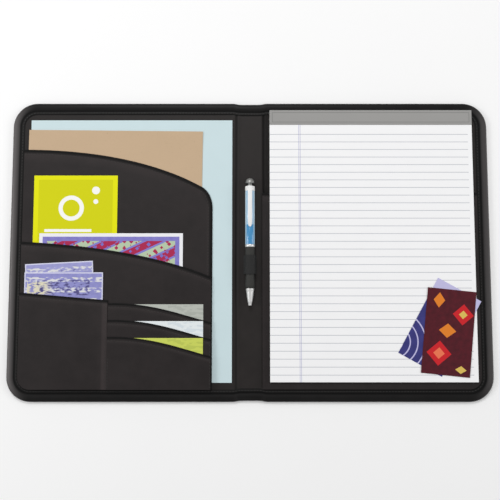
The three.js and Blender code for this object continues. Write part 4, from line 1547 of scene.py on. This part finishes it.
class PADFOLIO_OT_pen(bpy.types.Operator):
    """Click pen and the elastic loop that holds it"""

    bl_idname = "padfolio.pen"
    bl_label = "Pen and loop"

    def execute(self, context):
        declare(self.barrel().piece("pen_barrel_shell"), ["pen_barrel"], "pen")
        declare(self.grip().piece("pen_grip_sleeve"), ["pen_grip"], "pen")
        declare(self.tip().piece("pen_tip_cone"), ["pen_tip"], "pen")
        declare(self.clip().piece("pen_clip_arm"), ["pen_clip"], "pen")
        declare(self.button().piece("pen_button_dome"), ["pen_button"], "refill")
        declare(self.refill().piece("pen_refill_tube"), ["pen_refill"], "refill")
        declare(self.loop().piece("pen_loop_elastic"), ["pen_loop"], "spine")
        return {"FINISHED"}

    def barrel(self):
        low, high = corners("pen_barrel")
        foot = corners("pen_grip")[1][1] + 0.15
        ring_head = foot + 2.6
        joint = 26.0
        head = high[1] - 5.0
        radius = PEN_RADIUS
        core = 3.6
        bore = 2.6
        ring = [
            (core, foot), (radius - 0.25, foot), (radius + 0.05, foot + 0.5), (radius + 0.05, foot + 2.2),
            (radius - 0.15, ring_head), (core, ring_head),
        ]
        lower = [
            (core, ring_head), (radius - 0.1, foot + 2.7), (radius, foot + 3.4), (radius, joint - 0.4),
            (radius - 0.15, joint),
        ]
        upper = [
            (radius - 0.15, joint), (radius, joint + 0.4), (radius, head - 0.3), (radius - 0.2, head),
            (radius - 0.5, head), (radius - 0.5, high[1]),
        ]
        inner = [(core - 0.05, low[1]), (core - 0.05, foot)]
        shell = Shell()
        for outside, paint in (
            (ring, "pen silver"), (lower, "pen blue"), (upper, "pen clear blue"), (inner, "pen blue")
        ):
            shell.add(*turned_tube(outside, [(bore, outside[0][1]), (bore, outside[-1][1])]), paint)
        return shell

    def grip(self):
        low, high = corners("pen_grip")
        ridges = 12
        most = 5.05
        bore = 3.8
        share = np.linspace(0, 1, 161)
        body = np.interp(share, [0, 0.07, 0.35, 0.85, 1], [4.3, 5.0, 4.5, 5.0, 5.0])
        ridged = (share > 0.12) & (share < 0.72)
        ridge = 0.07 * np.maximum(np.sin(share * math.tau * ridges), 0.0) * ridged
        outer = np.stack([np.minimum(body + ridge, most), low[1] + share * (high[1] - low[1])], 1)
        return Shell().add(*turned_tube(outer, [(bore, low[1]), (bore, high[1])]), "pen rubber")

    def tip(self):
        low, high = corners("pen_tip")
        length = high[1] - low[1]
        # Share of the length and radius, from the point up
        profile = (
            (0, 1.62), (0.02, 1.72), (0.1, 1.9), (0.17, 2.15), (0.19, 2.32), (0.22, 2.35),
            (0.5, 3.25), (0.8, 3.95), (0.88, 4.1), (0.9, 4.28), (1.0, 4.3),
        )
        outer = [(radius, low[1] + share * length) for share, radius in profile]
        inner = [(1.0, low[1]), (1.0, low[1] + 0.23 * length), (2.6, low[1] + 0.4 * length), (2.6, high[1])]
        return Shell().add(*turned_tube(outer, inner), "pen silver")

    def clip(self):
        """The clip: a collar round the barrel's head and a slim arched arm."""
        low, high = corners("pen_clip")
        head = high[1]
        foot = head - 4.9
        bore, outside, crown = (PEN_RADIUS + step for step in (-0.4, -0.1, 0.05))
        collar = [
            (bore, foot), (outside, foot), (crown, foot + 0.3),
            (crown, head - 0.3), (outside, head), (bore, head),
        ]
        shell = Shell().add(*turned_tube(collar, [(bore, foot), (bore, head)]), "pen white")
        stations = 30
        points = 16
        share = np.linspace(0, 1, stations)
        bends = [0, 0.05, 0.12, 0.3, 0.85, 1]
        middle = np.interp(share, bends, [15.95, 15.9, 16.35, 16.6, 16.55, 16.0])
        thick = np.interp(share, bends, [0.7, 1.2, 1.1, 1.1, 1.2, 1.6])
        half = np.interp(share, [0, 0.03, 0.1, 0.5, 1], [1.2, 1.8, 2.2, 2.45, 2.45])
        angle = np.arange(points) * math.tau / points
        across, up = (-np.sign(wave) * np.abs(wave) ** 0.6 for wave in (np.sin(angle), np.cos(angle)))
        path = np.stack([np.zeros(stations), low[1] + share * (high[1] - low[1])], 1)
        vertices, faces = sweep(path, np.stack([across, up], 1))
        arm = vertices.reshape(stations, points, 3)
        arm[:, :, 0] *= half[:, None]
        arm[:, :, 2] = middle[:, None] + arm[:, :, 2] * thick[:, None] / 2
        return shell.add(arm.reshape(-1, 3), faces, "pen white")

    def button(self):
        low, high = corners("pen_button")
        stem = 2.3
        radius = 4.7
        dome_foot = high[1] - 5.7
        dome_start = dome_foot + 0.3
        rise = high[1] - dome_start
        profile = [(0, low[1]), (stem, low[1]), (stem, dome_foot)]
        profile += [(radius - 0.2, dome_foot), (radius, dome_start)]
        steps = 14
        for i in range(steps):
            angle = i / steps * math.pi / 2
            profile.append((radius * math.cos(angle) ** 0.8, dome_start + rise * math.sin(angle)))
        profile.append((0, high[1]))
        return Shell().add(*lathe(profile), "pen grey")

    def refill(self):
        low, high = corners("pen_refill")
        foot = low[1]
        head = high[1]
        point, neck, tube = 0.35, 0.7, 1.6
        profile = [
            (0, foot), (point, foot), (neck, foot + 1.4), (neck, foot + 9),
            (tube, foot + 10), (tube, head), (0, head),
        ]
        return Shell().add(*lathe(profile, 24), "refill tube")

    def loop(self):
        """The elastic loop: a ribbed band round the pen, sewn flat to the spine."""
        low, high = corners("pen_loop")
        inner = PEN_RADIUS + 0.3
        outer = inner + 0.6
        sewn_top = LINING_TOP + 0.5
        rows = np.linspace(low[1], high[1], 21)
        ribs = outer + 0.05 * np.cos(np.arange(len(rows) - 2) * math.pi)
        band = np.stack([np.concatenate([[outer - 0.1], ribs, [outer - 0.1]]), rows], 1)
        shell = Shell().add(*turned_tube(band, [(inner, rows[0]), (inner, rows[-1])]), "elastic")
        u, v = np.meshgrid(np.linspace(low[0], high[0], 15), rows)
        shell.add(*plate(u, v, LINING_TOP - 0.2, sewn_top - 0.1 * bell(7 - np.abs(u), 0.8)), "elastic")
        for x in (low[0] + 0.9, high[0] - 0.9):
            line = np.linspace((x, low[1] + 1, sewn_top), (x, high[1] - 1, sewn_top), 6)
            shell.add(*sewn(line, radius=0.25, finish_name="inside thread"))
        return shell


# Stage


class PADFOLIO_OT_stage(bpy.types.Operator):
    """Pale floor, soft studio light and the camera"""

    bl_idname = "padfolio.stage"
    bl_label = "Stage"

    def execute(self, context):
        settings = context.scene.padfolio_stage
        self.floor()
        self.light(context.scene, settings)
        self.camera(context.scene, settings)
        context.scene.view_settings.view_transform = "Standard"
        return {"FINISHED"}

    def floor(self):
        reach = 3000.0
        thickness = 20.0
        steps = np.linspace(-reach, reach, 25)
        x, y = np.meshgrid(steps, steps)
        Shell().add(*plate(x, y, -thickness, 0.0), "floor").piece("floor")

    def light(self, scene, settings):
        """Three round lights that look at the middle of the object, and an even light from all round."""
        for name, place, width, power in (
            ("key_light", (-0.2, 1.0, 1.45), 0.7, settings.key),
            ("left_light", (-1.35, 0.05, 0.95), 0.6, settings.side),
            ("right_light", (1.35, 0.05, 0.8), 0.6, settings.side * 0.6),
        ):
            data = bpy.data.lights.new(name, "AREA")
            data.shape = "DISK"
            data.size = width
            data.energy = power
            lamp = bpy.data.objects.new(name, data)
            scene.collection.objects.link(lamp)
            lamp.location = place
            lamp.rotation_euler = (-Vector(place)).to_track_quat("-Z", "Y").to_euler()
        world = bpy.data.worlds.new("studio")
        world.use_nodes = True
        background = world.node_tree.nodes["Background"]
        background.inputs["Color"].default_value = (1.0, 1.0, 1.0, 1.0)
        background.inputs["Strength"].default_value = settings.sky
        scene.world = world

    def camera(self, scene, settings):
        data = bpy.data.cameras.new("camera")
        data.lens = settings.lens
        data.sensor_width = 36.0
        camera = bpy.data.objects.new("camera", data)
        scene.collection.objects.link(camera)
        half_width = EDGE_X * MM * (1 + settings.margin)
        distance = half_width / (data.sensor_width / 2 / data.lens)
        target = Vector((0.0, 0.0, LINING_TOP * MM))
        back = Vector((0.0, -math.cos(settings.elevation), math.sin(settings.elevation)))
        camera.location = target + back * distance
        camera.rotation_euler = (-back).to_track_quat("-Z", "Y").to_euler()
        scene.camera = camera


OPERATORS = (
    PADFOLIO_OT_stage,
    PADFOLIO_OT_front_leather,
    PADFOLIO_OT_back_leather,
    PADFOLIO_OT_boards,
    PADFOLIO_OT_linings,
    PADFOLIO_OT_bindings,
    PADFOLIO_OT_pockets,
    PADFOLIO_OT_pocket_papers,
    PADFOLIO_OT_writing_pad,
    PADFOLIO_OT_loose_cards,
    PADFOLIO_OT_pen,
)


class PADFOLIO_PT_panel(bpy.types.Panel):
    """Lists the pieces of the padfolio"""

    bl_idname = "PADFOLIO_PT_panel"
    bl_label = "Padfolio"
    bl_space_type = "VIEW_3D"
    bl_region_type = "UI"
    bl_category = "Padfolio"

    def draw(self, context):
        for operator in OPERATORS:
            self.layout.operator(operator.bl_idname)
        for group in SETTINGS:
            settings = getattr(context.scene, group)
            box = self.layout.box()
            for name in SETTINGS[group].__annotations__:
                box.prop(settings, name)


SETTINGS = {
    "padfolio_leather": LeatherSettings,
    "padfolio_paper": PaperSettings,
    "padfolio_stage": StageSettings,
}
CLASSES = (*SETTINGS.values(), *OPERATORS, PADFOLIO_PT_panel)


def register():
    for cls in CLASSES:
        bpy.utils.register_class(cls)
    for name, group in SETTINGS.items():
        setattr(bpy.types.Scene, name, PointerProperty(type=group))


def unregister():
    for name in SETTINGS:
        delattr(bpy.types.Scene, name)
    for cls in reversed(CLASSES):
        bpy.utils.unregister_class(cls)


def main():
    register()
    for operator in OPERATORS:
        getattr(bpy.ops.padfolio, operator.bl_idname.split(".")[1])()


if __name__ == "__main__":
    main()
